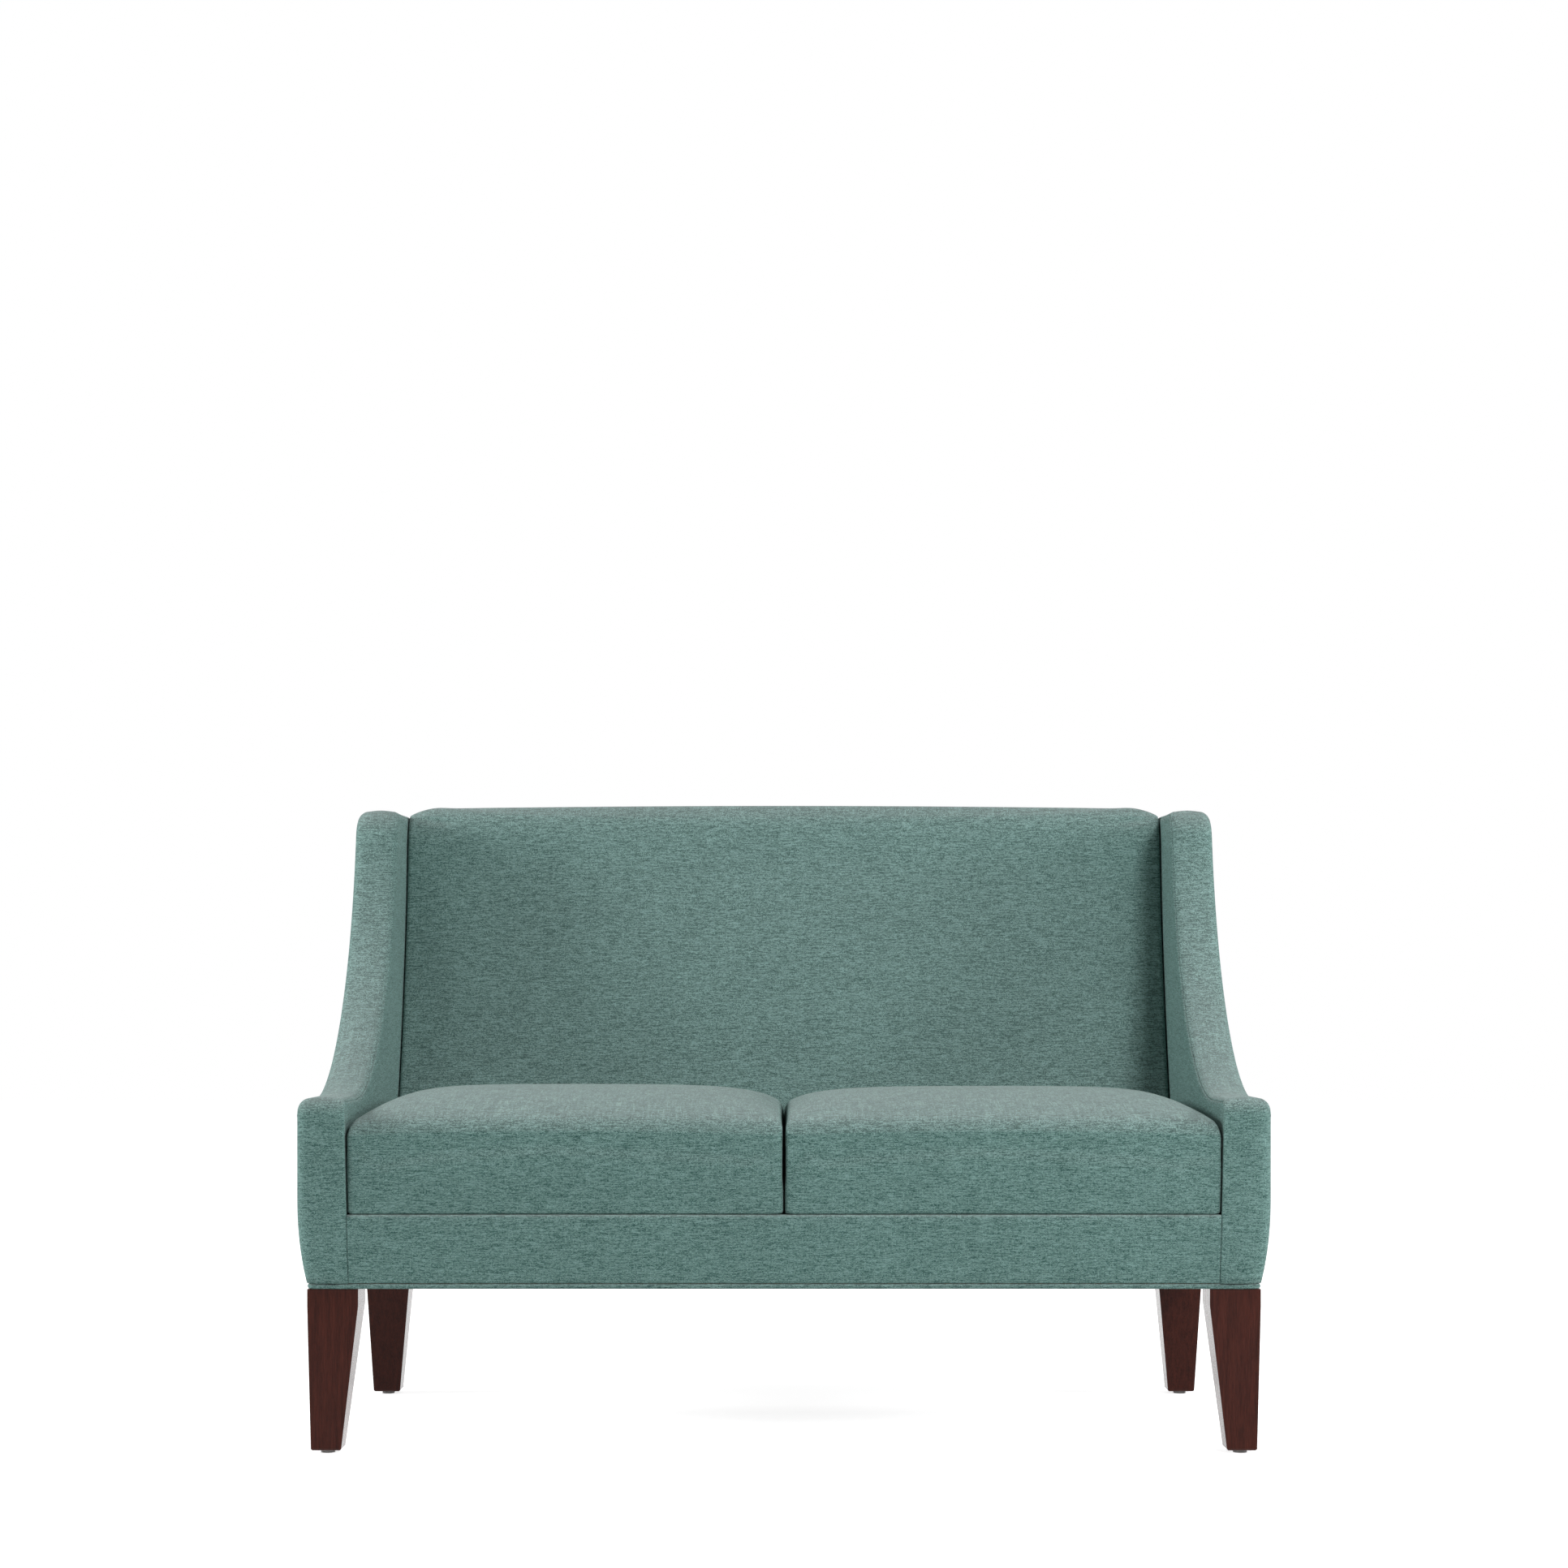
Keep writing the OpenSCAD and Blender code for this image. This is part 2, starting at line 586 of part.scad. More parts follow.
// Places of the pad's rings: evenly over its middle and along the round of its ends
middle_rings = 10;
end_rings = 3;
pad_ring_x = concat(
  [for (k = [0:end_rings - 1]) pad_end_x - pad_end_r * (1 - cos(90 * k / end_rings))],
  [for (k = [0:middle_rings]) (pad_end_x - pad_end_r) * (1 - 2 * k / middle_rings)],
  [for (k = [end_rings - 1:-1:0]) -pad_end_x + pad_end_r * (1 - cos(90 * k / end_rings))]);
module back_cover() {
  color("cadetblue") in_place() difference() {
    loft([for (x = pad_ring_x) at_x(pad_profile(x), x)], pad_cap);
    across(-arm_in_x, arm_in_x) frame_profile(top_rail_z, frame_top_z, -web_t - back_foam_t - over);
  }
}
module outside_sheet(from_t, to_t) {
  high = pad_high_z - soft_gap;
  across(-arm_in_x, arm_in_x)
    polygon([[outside_y(cloth_z) - to_t, cloth_z], [outside_y(cloth_z) - from_t, cloth_z],
      [outside_y(high) - from_t, high], [outside_y(high) - to_t, high]]);
}
module outside_back_board() {
  color("sienna") in_place() outside_sheet(cover_t + slant_gap, cover_t + board_t);
}
module outside_back_cover() {
  color("cadetblue") in_place() outside_sheet(0, cover_t);
}

// Front rail and bottom welt
module front_rail_padding() {
  color("khaki") in_place() union() {
    block([-arm_in_x, cover_t, cloth_z], [arm_in_x, front_rail_y, deck_top_z - cover_t]);
    block([-arm_in_x, front_rail_y, side_top_z], [arm_in_x, deck_front_y, deck_top_z - cover_t]);
  }
}
module front_rail_cover() {
  color("cadetblue") in_place() across(-arm_in_x, arm_in_x)
    polygon([[0, cloth_z], [cover_t, cloth_z], [cover_t, deck_top_z - cover_t],
      [deck_front_y, deck_top_z - cover_t], [deck_front_y, deck_top_z], [0, deck_top_z]]);
}
module base_welt() {
  welt_z = body_z + welt_dia / 2;
  rear_y = outside_y(cloth_z) - welt_dia / 2;
  color("teal") in_place() {
    for (y = [welt_dia / 2, rear_y])
      translate([-arm_out_x, y, welt_z]) rotate([0, 90, 0]) cylinder(d = welt_dia, h = 2 * arm_out_x);
    for (side = [-1, 1])
      translate([side * (arm_out_x - welt_dia / 2), welt_dia, welt_z]) rotate([-90, 0, 0])
        cylinder(d = welt_dia, h = rear_y - welt_dia / 2 - welt_dia);
  }
}

// Legs: the outline seen from the front, crossed with the outline seen from the side
leg_out_x = arm_out_x - leg_set_x;
foot_out_x = leg_out_x - leg_slant_x;
module leg_front_outline() {
  knee_z = body_z - leg_block_h;
  polygon([[leg_out_x, body_z], [leg_out_x, knee_z], [foot_out_x, glide_h + leg_chamfer],
    [foot_out_x - leg_chamfer, glide_h], [foot_out_x - leg_foot_w + leg_chamfer, glide_h],
    [foot_out_x - leg_foot_w, glide_h + leg_chamfer], [leg_out_x - leg_top_w, knee_z],
    [leg_out_x - leg_top_w, body_z]]);
}
module leg_side_outline(top_y, top_d, foot_y) {
  knee_z = body_z - leg_block_h;
  polygon([[top_y, body_z], [top_y, knee_z], [foot_y, glide_h + leg_chamfer],
    [foot_y + leg_chamfer, glide_h], [foot_y + leg_foot_w - leg_chamfer, glide_h],
    [foot_y + leg_foot_w, glide_h + leg_chamfer], [top_y + top_d, knee_z], [top_y + top_d, body_z]]);
}
glide_x = foot_out_x - leg_foot_w / 2;
glide_spots = [[glide_x, front_leg_y + leg_foot_w / 2],
  [glide_x, rear_leg_y + rear_leg_kick + leg_foot_w / 2]];
nail_dia = 2.4;
nail_len = 16;
nail_seat = 1.5;
module leg(side, top_y, top_d, foot_y) {
  color("saddlebrown") in_place() on_side(side) difference() {
    intersection() {
      across(leg_out_x - leg_top_w - over, leg_out_x + over) leg_side_outline(top_y, top_d, foot_y);
      translate([0, foot_y + leg_foot_w + top_d, 0]) rotate([90, 0, 0])
        linear_extrude(2 * (top_d + leg_foot_w) + foot_y - top_y) leg_front_outline();
    }
    leg_bolt_set(bore_gap);
    nail_set(bore_gap);
  }
}
module nail_set(gap) {
  for (spot = glide_spots) translate([spot[0], spot[1], nail_seat])
    cylinder(d = nail_dia + 2 * gap, h = nail_len + gap);
}
module glides() {
  color("lightgray") in_place() for (side = [-1, 1]) on_side(side) difference() {
    for (spot = glide_spots) translate([spot[0], spot[1], 0]) cylinder(d = glide_dia, h = glide_h);
    nail_set(bore_gap);
  }
}
module glide_nails() {
  color("silver") in_place() for (side = [-1, 1]) on_side(side) nail_set(0);
}

// Seat cushions
cushion_in_x = cushion_gap / 2;
cushion_out_x = arm_in_x - cushion_side_gap;
// How far the cushion's front edge lies up its rounding
edge_share = 0.85;
round_from_z = cushion_edge_z - cushion_edge_r * edge_share;
under_draw = 7;
under_h = 20;
// Where the underside's middle ring lies, as a share of that height and of its draw
under_share = 0.25;
corner_steps = 4;
// Places of the points between two corners, close together where the top falls away
side_spots = [0.04, 0.12, 0.3, 0.5, 0.7, 0.88, 0.96];
// Insets of the top's rings: as shares of the rounding, and on from there to the middle
edge_rings = [0, 0.06, 0.16, 0.3, 0.55, 1];
crown_rings = [0.08, 0.2, 0.4, 0.7, 1];
// How the rounding and the crown rise from the arm's side, the middle's, the front and the rear:
// their share at the side itself, and the distance in which they rise, as shares of the
// rounding and of half the width
round_rise = [[0.07, 0.15], [0.6, 0.09], [0.25, 0.22], [0.6, 0.3]];
crown_rise = [[0, 0.135], [0.15, 0.15], [0, 0.34], [0.2, 0.2]];
// How much rounder the crown's rings get towards the middle, against their inset
round_share = 0.45;
cushion_half_w = (cushion_out_x - cushion_in_x) / 2;
// Half the width of the crown's last ring, and how far that lies from the cushion's edge
crown_flat = 22;
crown_reach = cushion_half_w - crown_flat;
function ring_corner(cx, cy, r, from) =
  [for (k = [0:corner_steps]) let (a = from + 90 * k / corner_steps) [cx + r * cos(a), cy + r * sin(a)]];
function ring_side(a, b, push) = [for (t = side_spots) a + (b - a) * t + push * 4 * t * (1 - t)];
function cushion_ring(z, inset, draw) = let (
    x0 = cushion_in_x + inset, x1 = cushion_out_x - inset,
    y0 = cushion_front_y + inset, y1 = cushion_rear_y(min(z, cushion_edge_z)) - inset,
    r = (cushion_corner_r + inset * round_share) * (1 - inset / cushion_half_w),
    a = ring_corner(x1 - r, y1 - r, r, 0), b = ring_corner(x0 + r, y1 - r, r, 90),
    c = ring_corner(x0 + r, y0 + r, r, 180), d = ring_corner(x1 - r, y0 + r, r, 270), n = corner_steps)
  [for (p = concat(a, ring_side(a[n], b[0], [0, 0]), b, ring_side(b[n], c[0], [draw, 0]),
      c, ring_side(c[n], d[0], [0, draw]), d, ring_side(d[n], a[0], [-draw, 0])))
    [p[0], p[1], z]];
function rise(d, law, unit) = law[0] + (1 - law[0]) * (1 - exp(-max(d, 0) / (law[1] * unit)));
function rises(gaps, laws, unit) = rise(gaps[0], laws[0], unit) * rise(gaps[1], laws[1], unit)
  * rise(gaps[2], laws[2], unit) * rise(gaps[3], laws[3], unit);
cushion_rear_max = cushion_rear_y(cushion_edge_z);
cushion_mid_y = (cushion_front_y + cushion_rear_max) / 2;
function cushion_top_z(x, y) = let (
    gaps = [cushion_out_x - x, x - cushion_in_x, y - cushion_front_y, cushion_rear_max - y])
  round_from_z + cushion_edge_r * rises(gaps, round_rise, cushion_edge_r)
    + cushion_crown * rises(gaps, crown_rise, cushion_half_w);
// Lays a ring on the cushion's top, and keeps its low rear corners on the leaning rear side
function on_top(ring) = [for (p = ring) let (
    z = cushion_top_z(p[0], p[1]),
    rear = max(0, (p[1] - cushion_mid_y) / (cushion_rear_max - cushion_mid_y)))
  [p[0], p[1] - max(0, cushion_edge_z - z) * tan(cushion_rake) * rear, z]];
module cushion_form() {
  rings = concat(
    [cushion_ring(seat_base_z, under_draw, 0),
      cushion_ring(seat_base_z + under_h * under_share, under_draw * under_share, cushion_draw),
      cushion_ring(seat_base_z + under_h, 0, cushion_draw), cushion_ring(round_from_z, 0, cushion_draw)],
    [for (u = edge_rings) on_top(cushion_ring(cushion_edge_z, cushion_edge_r * u, cushion_draw))],
    [for (u = crown_rings) on_top(cushion_ring(cushion_edge_z,
      cushion_edge_r + (crown_reach - cushion_edge_r) * u, cushion_draw * (1 - u)))]);
  loft(rings, fan(len(rings[0]), corner_steps / 2));
}
wadding_t = 14;
core_low_z = seat_base_z + wadding_t / 2;
core_high_z = cushion_edge_z - wadding_t;
module cushion_core() {
  across(cushion_in_x + wadding_t, cushion_out_x - wadding_t)
    polygon([[cushion_front_y + wadding_t, core_low_z],
      [cushion_rear_y(core_low_z) - wadding_t, core_low_z],
      [cushion_rear_y(core_high_z) - wadding_t, core_high_z],
      [cushion_front_y + wadding_t, core_high_z]]);
}
// Opening in the cover's rear side, which the zip closes
slot_w = 6;
module zip_slot(low, high) {
  across(zip_mid_x - zip_len / 2, zip_mid_x + zip_len / 2)
    polygon([[cushion_rear_y(low) - wadding_t - over, low], [cushion_rear_y(low) + over, low],
      [cushion_rear_y(high) + over, high], [cushion_rear_y(high) - wadding_t - over, high]]);
}
module seat_cover(side) {
  color("mediumaquamarine") in_place() on_side(side) difference() {
    cushion_form();
    cushion_core();
    zip_slot(zip_mid_z - slot_w / 2, zip_mid_z + slot_w / 2);
  }
}
module seat_foam(side) {
  color("lemonchiffon") in_place() on_side(side) cushion_core();
}
zip_len = 420;
zip_w = 12;
zip_t = 1.2;
zip_lap = 3;
zip_mid_x = (cushion_in_x + cushion_out_x) / 2;
zip_mid_z = (seat_base_z + under_h + round_from_z) / 2;
function zip_face_y(z) = cushion_rear_y(z) + slant_gap;
module seat_zip(side) {
  low = zip_mid_z - zip_w / 2;
  high = zip_mid_z + zip_w / 2;
  color("darkslategray") in_place() on_side(side)
    across(zip_mid_x - zip_len / 2 - zip_lap, zip_mid_x + zip_len / 2 + zip_lap)
      polygon([[zip_face_y(low), low], [zip_face_y(low) + zip_t, low],
        [zip_face_y(high) + zip_t, high], [zip_face_y(high), high]]);
}

front_rail();
rear_rail();
side_rail(-1);  // side_rail_left
side_rail(1);  // side_rail_right
centre_rail();
corner_blocks();
rail_dowels();
arm_panel(-1);  // arm_panel_left
arm_panel(1);  // arm_panel_right
arm_base(-1);  // arm_base_left
arm_base(1);  // arm_base_right
back_post(-1);  // back_post_left
back_post(1);  // back_post_right
back_centre_post();
back_top_rail();
back_dowels();
seat_webbing_long();
seat_webbing_cross();
seat_deck();
dust_cover();
back_webbing();
back_foam();
back_cover();
outside_back_board();
outside_back_cover();
arm_foam(-1);  // arm_foam_left
arm_foam(1);  // arm_foam_right
inside_arm_cover(-1);  // inside_arm_cover_left
inside_arm_cover(1);  // inside_arm_cover_right
outside_arm_cover(-1);  // outside_arm_cover_left
outside_arm_cover(1);  // outside_arm_cover_right
arm_band(-1);  // arm_band_left
arm_band(1);  // arm_band_right
front_rail_padding();
front_rail_cover();
base_welt();
arm_bolts();
arm_tee_nuts();
leg(-1, front_leg_y, front_leg_d, front_leg_y);  // front_leg_left
leg(1, front_leg_y, front_leg_d, front_leg_y);  // front_leg_right
leg(-1, rear_leg_y, rear_leg_d, rear_leg_y + rear_leg_kick);  // rear_leg_left
leg(1, rear_leg_y, rear_leg_d, rear_leg_y + rear_leg_kick);  // rear_leg_right
leg_bolts();
leg_inserts();
glides();
glide_nails();
seat_cover(-1);  // seat_cover_left
seat_cover(1);  // seat_cover_right
seat_foam(-1);  // seat_foam_left
seat_foam(1);  // seat_foam_right
seat_zip(-1);  // seat_zip_left
seat_zip(1);  // seat_zip_right
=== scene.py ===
"""High back settee: upholstery, seams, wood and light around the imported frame.

Shapes are worked out in millimetres, as (across, depth behind the arm fronts, height), and
written to the meshes in metres in the row frame. The right side is built and mirrored.
"""

import json
import logging
import math
from dataclasses import dataclass, field
from enum import Enum
from typing import Callable, Sequence

import bmesh
import bpy
import numpy as np
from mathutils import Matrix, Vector
from mathutils.geometry import delaunay_2d_cdt

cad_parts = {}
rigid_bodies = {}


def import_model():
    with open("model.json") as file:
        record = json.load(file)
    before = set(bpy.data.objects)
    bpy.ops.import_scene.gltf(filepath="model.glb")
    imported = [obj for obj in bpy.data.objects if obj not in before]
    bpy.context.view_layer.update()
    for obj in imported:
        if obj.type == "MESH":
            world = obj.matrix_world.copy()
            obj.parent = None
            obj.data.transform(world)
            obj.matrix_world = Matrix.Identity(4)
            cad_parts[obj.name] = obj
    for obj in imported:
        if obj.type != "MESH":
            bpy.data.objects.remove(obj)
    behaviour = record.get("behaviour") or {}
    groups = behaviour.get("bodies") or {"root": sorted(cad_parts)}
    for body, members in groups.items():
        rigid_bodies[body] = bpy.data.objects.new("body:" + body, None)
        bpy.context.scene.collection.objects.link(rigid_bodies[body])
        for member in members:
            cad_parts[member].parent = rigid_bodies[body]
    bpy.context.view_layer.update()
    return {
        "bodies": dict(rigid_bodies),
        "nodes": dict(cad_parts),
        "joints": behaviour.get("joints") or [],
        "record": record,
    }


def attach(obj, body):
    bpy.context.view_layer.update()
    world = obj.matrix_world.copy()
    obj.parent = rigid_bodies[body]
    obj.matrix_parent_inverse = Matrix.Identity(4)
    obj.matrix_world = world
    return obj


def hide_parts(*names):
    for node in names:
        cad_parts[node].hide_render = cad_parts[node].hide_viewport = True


MM = 0.001
# From the middle of the settee's depth, where the row frame starts, to the arm fronts
FROM_FRONT = (0.0, 380.0, 0.0)

log = logging.getLogger("settee")

Row = Sequence[float]
Node = bpy.types.Node
Socket = bpy.types.NodeSocket


class Side(Enum):
    """A side of the settee, as seen from the front."""

    LEFT = -1
    RIGHT = 1

    @property
    def word(self) -> str:
        """The side's word in the names of nodes and pieces."""
        return self.name.lower()


class Slot(Enum):
    """The record's material slots."""

    UPHOLSTERY = "upholstery"
    LEG_WOOD = "leg_wood"
    FRAME_WOOD = "frame_wood"
    BOARD = "board"
    FOAM = "foam"
    WEBBING = "webbing"
    LINING = "lining"
    STEEL = "steel"
    BRASS = "brass"
    GLIDE_PLASTIC = "glide_plastic"
    ZIP = "zip"


def smooth_step(value: np.ndarray, low: float, high: float) -> np.ndarray:
    """Returns 0 below low, 1 above high and a smooth ramp between them."""
    share = np.clip((np.asarray(value, float) - low) / (high - low), 0.0, 1.0)
    return share * share * (3.0 - 2.0 * share)


def cubic(t: float, start: np.ndarray, pull_a: np.ndarray, pull_b: np.ndarray,
          end: np.ndarray) -> np.ndarray:
    """Returns the point of a cubic curve at share t, drawn towards two pulls on its way."""
    return ((1 - t) ** 3 * start + 3 * (1 - t) ** 2 * t * pull_a + 3 * (1 - t) * t * t * pull_b
            + t ** 3 * end)


def arc(centre: np.ndarray, radius: float, start: float, stop: float, count: int) -> list:
    """Returns points round a centre after the first of count angles, given in degrees."""
    return [centre + radius * np.array([math.cos(a), math.sin(a)])
            for a in np.radians(np.linspace(start, stop, count)[1:])]


def read_points(mesh: bpy.types.Mesh) -> np.ndarray:
    """Returns a mesh's points in metres."""
    places = np.empty(len(mesh.vertices) * 3)
    mesh.vertices.foreach_get("co", places)
    return places.reshape(-1, 3)


def write_points(mesh: bpy.types.Mesh, points: np.ndarray) -> None:
    """Moves a mesh's points to new places in metres."""
    mesh.vertices.foreach_set("co", points.ravel())
    mesh.update()


def shaped_points(piece: bpy.types.Object) -> np.ndarray:
    """Returns a piece's points in millimetres from the arm fronts."""
    return read_points(piece.data) / MM + FROM_FRONT


class Shader:
    """Adds nodes and links to one node tree.

    Args:
        tree: the node tree that is filled.
    """

    NODES_A_ROW = 8
    NODE_GAPS = (200, -260)

    def __init__(self, tree: bpy.types.NodeTree) -> None:
        self.tree = tree
        self.place = 0

    def node(self, kind: str, **values: object) -> Node:
        """Adds a node.

        Args:
            kind: the node's type, without its ShaderNode prefix unless it has another.
            values: properties of the node.

        Returns:
            The new node.
        """
        name = kind if kind.startswith("Node") else "ShaderNode" + kind
        made = self.tree.nodes.new(name)
        row, column = divmod(self.place, self.NODES_A_ROW)
        made.location = (column * self.NODE_GAPS[0], row * self.NODE_GAPS[1])
        self.place += 1
        for key, value in values.items():
            setattr(made, key, value)
        return made

    def feed(self, socket: Socket, value: object) -> None:
        """Links an output to socket, or sets socket to a plain value."""
        if isinstance(value, bpy.types.NodeSocket):
            self.tree.links.new(value, socket)
        else:
            socket.default_value = value

    def set(self, node: Node, values: dict) -> None:
        """Feeds a node's inputs, by name."""
        for label, value in values.items():
            self.feed(node.inputs[label], value)

    def maths(self, operation: str, a: object, b: object = 0.0, clamp: bool = False) -> Socket:
        """Returns the output of a Math node on a and b."""
        made = self.node("Math", operation=operation, use_clamp=clamp)
        self.feed(made.inputs[0], a)
        self.feed(made.inputs[1], b)
        return made.outputs[0]

    def plus(self, a: object, b: object) -> Socket:
        """Returns a + b."""
        return self.maths("ADD", a, b)

    def minus(self, a: object, b: object) -> Socket:
        """Returns a - b."""
        return self.maths("SUBTRACT", a, b)

    def times(self, a: object, b: object) -> Socket:
        """Returns a * b."""
        return self.maths("MULTIPLY", a, b)

    def most(self, a: object, b: object) -> Socket:
        """Returns the larger of a and b."""
        return self.maths("MAXIMUM", a, b)

    def scaled(self, vector: Socket, scale: object) -> Socket:
        """Returns a vector multiplied by scale, axis by axis."""
        made = self.node("VectorMath", operation="MULTIPLY")
        self.feed(made.inputs[0], vector)
        self.feed(made.inputs[1], scale)
        return made.outputs[0]

    def noise(self, vector: Socket, scale: object, detail: float, rough: float = 0.5) -> Socket:
        """Returns the value of a Noise Texture at vector."""
        made = self.node("TexNoise")
        self.set(made, {"Vector": vector, "Scale": scale, "Detail": detail, "Roughness": rough})
        return made.outputs["Fac"]

    def ramp(self, value: object, from_low: float, from_high: float, to_low: object = 0.0,
             to_high: object = 1.0, smooth: bool = False) -> Socket:
        """Returns value taken from one range to another, held at its ends."""
        made = self.node("MapRange", interpolation_type="SMOOTHSTEP" if smooth else "LINEAR")
        self.set(made, {"Value": value, "From Min": from_low, "From Max": from_high,
                        "To Min": to_low, "To Max": to_high})
        return made.outputs["Result"]

    def blend(self, share: object, a: object, b: object, kind: str = "RGBA",
              how: str = "MIX") -> Socket:
        """Returns a mixed with b by share, as colours or as values."""
        made = self.node("Mix", data_type=kind)
        sockets = {"RGBA": ("A_Color", "B_Color", "Result_Color"),
                   "FLOAT": ("A_Float", "B_Float", "Result_Float")}[kind]
        if kind == "RGBA":
            made.blend_type = how
        by_id = {s.identifier: s for s in made.inputs}
        self.feed(by_id["Factor_Float"], share)
        self.feed(by_id[sockets[0]], a)
        self.feed(by_id[sockets[1]], b)
        return {s.identifier: s for s in made.outputs}[sockets[2]]

    def apart(self, vector: Socket) -> bpy.types.NodeOutputs:
        """Returns the X, Y and Z of a vector."""
        made = self.node("SeparateXYZ")
        self.feed(made.inputs[0], vector)
        return made.outputs

    def in_view(self) -> Socket:
        """Returns 1 for what the camera sees, also mirrored or through glass."""
        path = self.node("LightPath").outputs
        through = self.most(path["Is Glossy Ray"], path["Is Transmission Ray"])
        return self.most(path["Is Camera Ray"], through)


class EffectGroup:
    """A shader node group with named inputs and outputs, built once.

    Args:
        name: the group's name.
        inputs: name, socket type and default of each input.
        outputs: name and socket type of each output.
        fill: makes the group's nodes and returns the outputs' values by name.
    """

    def __init__(self, name: str, inputs: Sequence[tuple], outputs: Sequence[tuple],
                 fill: Callable[[Shader, dict], dict]) -> None:
        self.tree = bpy.data.node_groups.new(name, "ShaderNodeTree")
        for label, kind, default in inputs:
            socket = self.tree.interface.new_socket(name=label, in_out="INPUT", socket_type=kind)
            socket.default_value = default
        for label, kind in outputs:
            self.tree.interface.new_socket(name=label, in_out="OUTPUT", socket_type=kind)
        shader = Shader(self.tree)
        entry = shader.node("NodeGroupInput")
        leave = shader.node("NodeGroupOutput")
        made = fill(shader, {label: entry.outputs[label] for label, _, _ in inputs})
        shader.set(leave, made)

    def put(self, shader: Shader, **values: object) -> bpy.types.NodeOutputs:
        """Places the group in a material.

        Args:
            shader: the material's shader.
            values: the inputs' values by name.

        Returns:
            The outputs that carry the effect.
        """
        made = shader.node("Group")
        made.node_tree = self.tree
        shader.set(made, values)
        return made.outputs


@dataclass(frozen=True)
class WeavePattern:
    """A plain weave in mixed yarn: the weft runs across on every side.

    Each yarn has its own tone, which drifts along it in streaks, and each crossing its own fleck.
    Weft and warp lie on top in turn, as rounded yarns with painted shade in the gaps between them,
    but the finer weft shows most. On level faces the warp's tones show too.

    A streak is its stretch along the yarn, its level in the noise and the weft's strength. A
    pair is the two ends of a ramp, such as that from upright to level faces.
    """

    square_to: float = 0.86
    ragged_scale: float = 500.0
    ragged: float = 0.3
    stray: float = 5.0
    across_stray: Row = (21.0, 19.0, 23.0)
    along_stray: Row = (17.0, 23.0, 21.0)
    closer_rows: float = 1.9
    yarn_apart: float = 3.7
    drift_rough: float = 0.6
    short_streak: Row = (0.3, 2.3, 1.5)
    long_streak: Row = (0.08, 7.9, 1.8)
    warp_streak: Row = (0.03, 9.7)
    warp_shows: Row = (0.2, 1.6)
    weft_in_warp: float = 0.5
    warp_tone: float = -0.2
    fleck: float = 0.65
    fleck_height: float = 0.5
    contrast: Row = (1.05, 2.2)
    level_at: float = 0.9
    mean_tone: float = 0.6
    bow_over: float = 0.9
    bow_under: float = 0.4
    cloud_scale: float = 7.0
    cloud_span: Row = (0.35, 0.65)
    cloud: Row = (0.97, 1.03)
    nap_scales: Row = (80.0, 40.0, 60.0)
    nap_rough: float = 0.6
    nap_from: float = 0.2
    nap: Row = (0.14, 0.6)
    # painted shade in the gaps between yarns, and a slight painted highlight on their tops
    gap_shade: Row = (0.62, 1.08)
    top_height: float = 0.75
    rough_span: Row = (0.2, 0.8)
    rough: Row = (0.82, 0.96)

    def counted(self, shader: Shader, count: Socket, length: Socket, closer: float,
                stray_at: Socket) -> Socket:
        """Returns a length in yarns, a little astray from an even count."""
        yarns = shader.times(length, shader.times(count, closer))
        stray = shader.noise(stray_at, 1.0, 1.0)
        return shader.plus(yarns, shader.times(stray, self.stray))

    def drift(self, shader: Shader, run: Socket, index: Socket, stretch: float,
              level: float) -> Socket:
        """Returns a yarn's tone about 0, drifting along its run."""
        spots = shader.node("CombineXYZ")
        shader.feed(spots.inputs[0], shader.times(run, stretch))
        shader.feed(spots.inputs[1], shader.times(index, self.yarn_apart))
        spots.inputs[2].default_value = level
        return shader.minus(shader.noise(spots.outputs[0], 1.0, 1.0, self.drift_rough), 0.5)

    def bow(self, shader: Shader, value: Socket, depth: float) -> Socket:
        """Returns an arch from 1 - depth to 1 and back over each yarn's width."""
        share = shader.times(shader.maths("FRACT", value), 2.0)
        side = shader.minus(share, 1.0)
        fall = shader.times(shader.times(side, side), depth)
        return shader.minus(1.0, fall)

    def fill(self, shader: Shader, given: dict) -> dict:
        """Fills the weave's group.

        Args:
            shader: the group's shader.
            given: the group's inputs.

        Returns:
            The group's outputs.
        """
        place = shader.node("TexCoord").outputs["Object"]
        axis = shader.apart(shader.node("NewGeometry").outputs["Normal"])
        spot = shader.apart(place)
        ragged = shader.times(shader.noise(place, self.ragged_scale, 0.0), self.ragged)

        def faces(label: str) -> Socket:
            """Returns 1 where the surface faces along an axis, with a ragged limit."""
            square = shader.plus(shader.maths("ABSOLUTE", axis[label]), ragged)
            return shader.maths("GREATER_THAN", square, self.square_to)

        level = faces("Z")
        across = shader.blend(faces("X"), spot["X"], spot["Y"], "FLOAT")
        along = shader.blend(level, spot["Z"], spot["Y"], "FLOAT")
        u = self.counted(shader, given["Count"], across, 1.0,
                         shader.scaled(place, self.across_stray))
        v = self.counted(shader, given["Count"], along, self.closer_rows,
                         shader.scaled(place, self.along_stray))
        column, row = shader.maths("FLOOR", u), shader.maths("FLOOR", v)
        crossing = shader.node("CombineXYZ")
        shader.feed(crossing.inputs[0], column)
        shader.feed(crossing.inputs[1], row)
        speck = shader.node("TexWhiteNoise", noise_dimensions="2D")
        shader.feed(speck.inputs["Vector"], crossing.outputs[0])
        fleck = shader.minus(speck.outputs["Value"], 0.5)

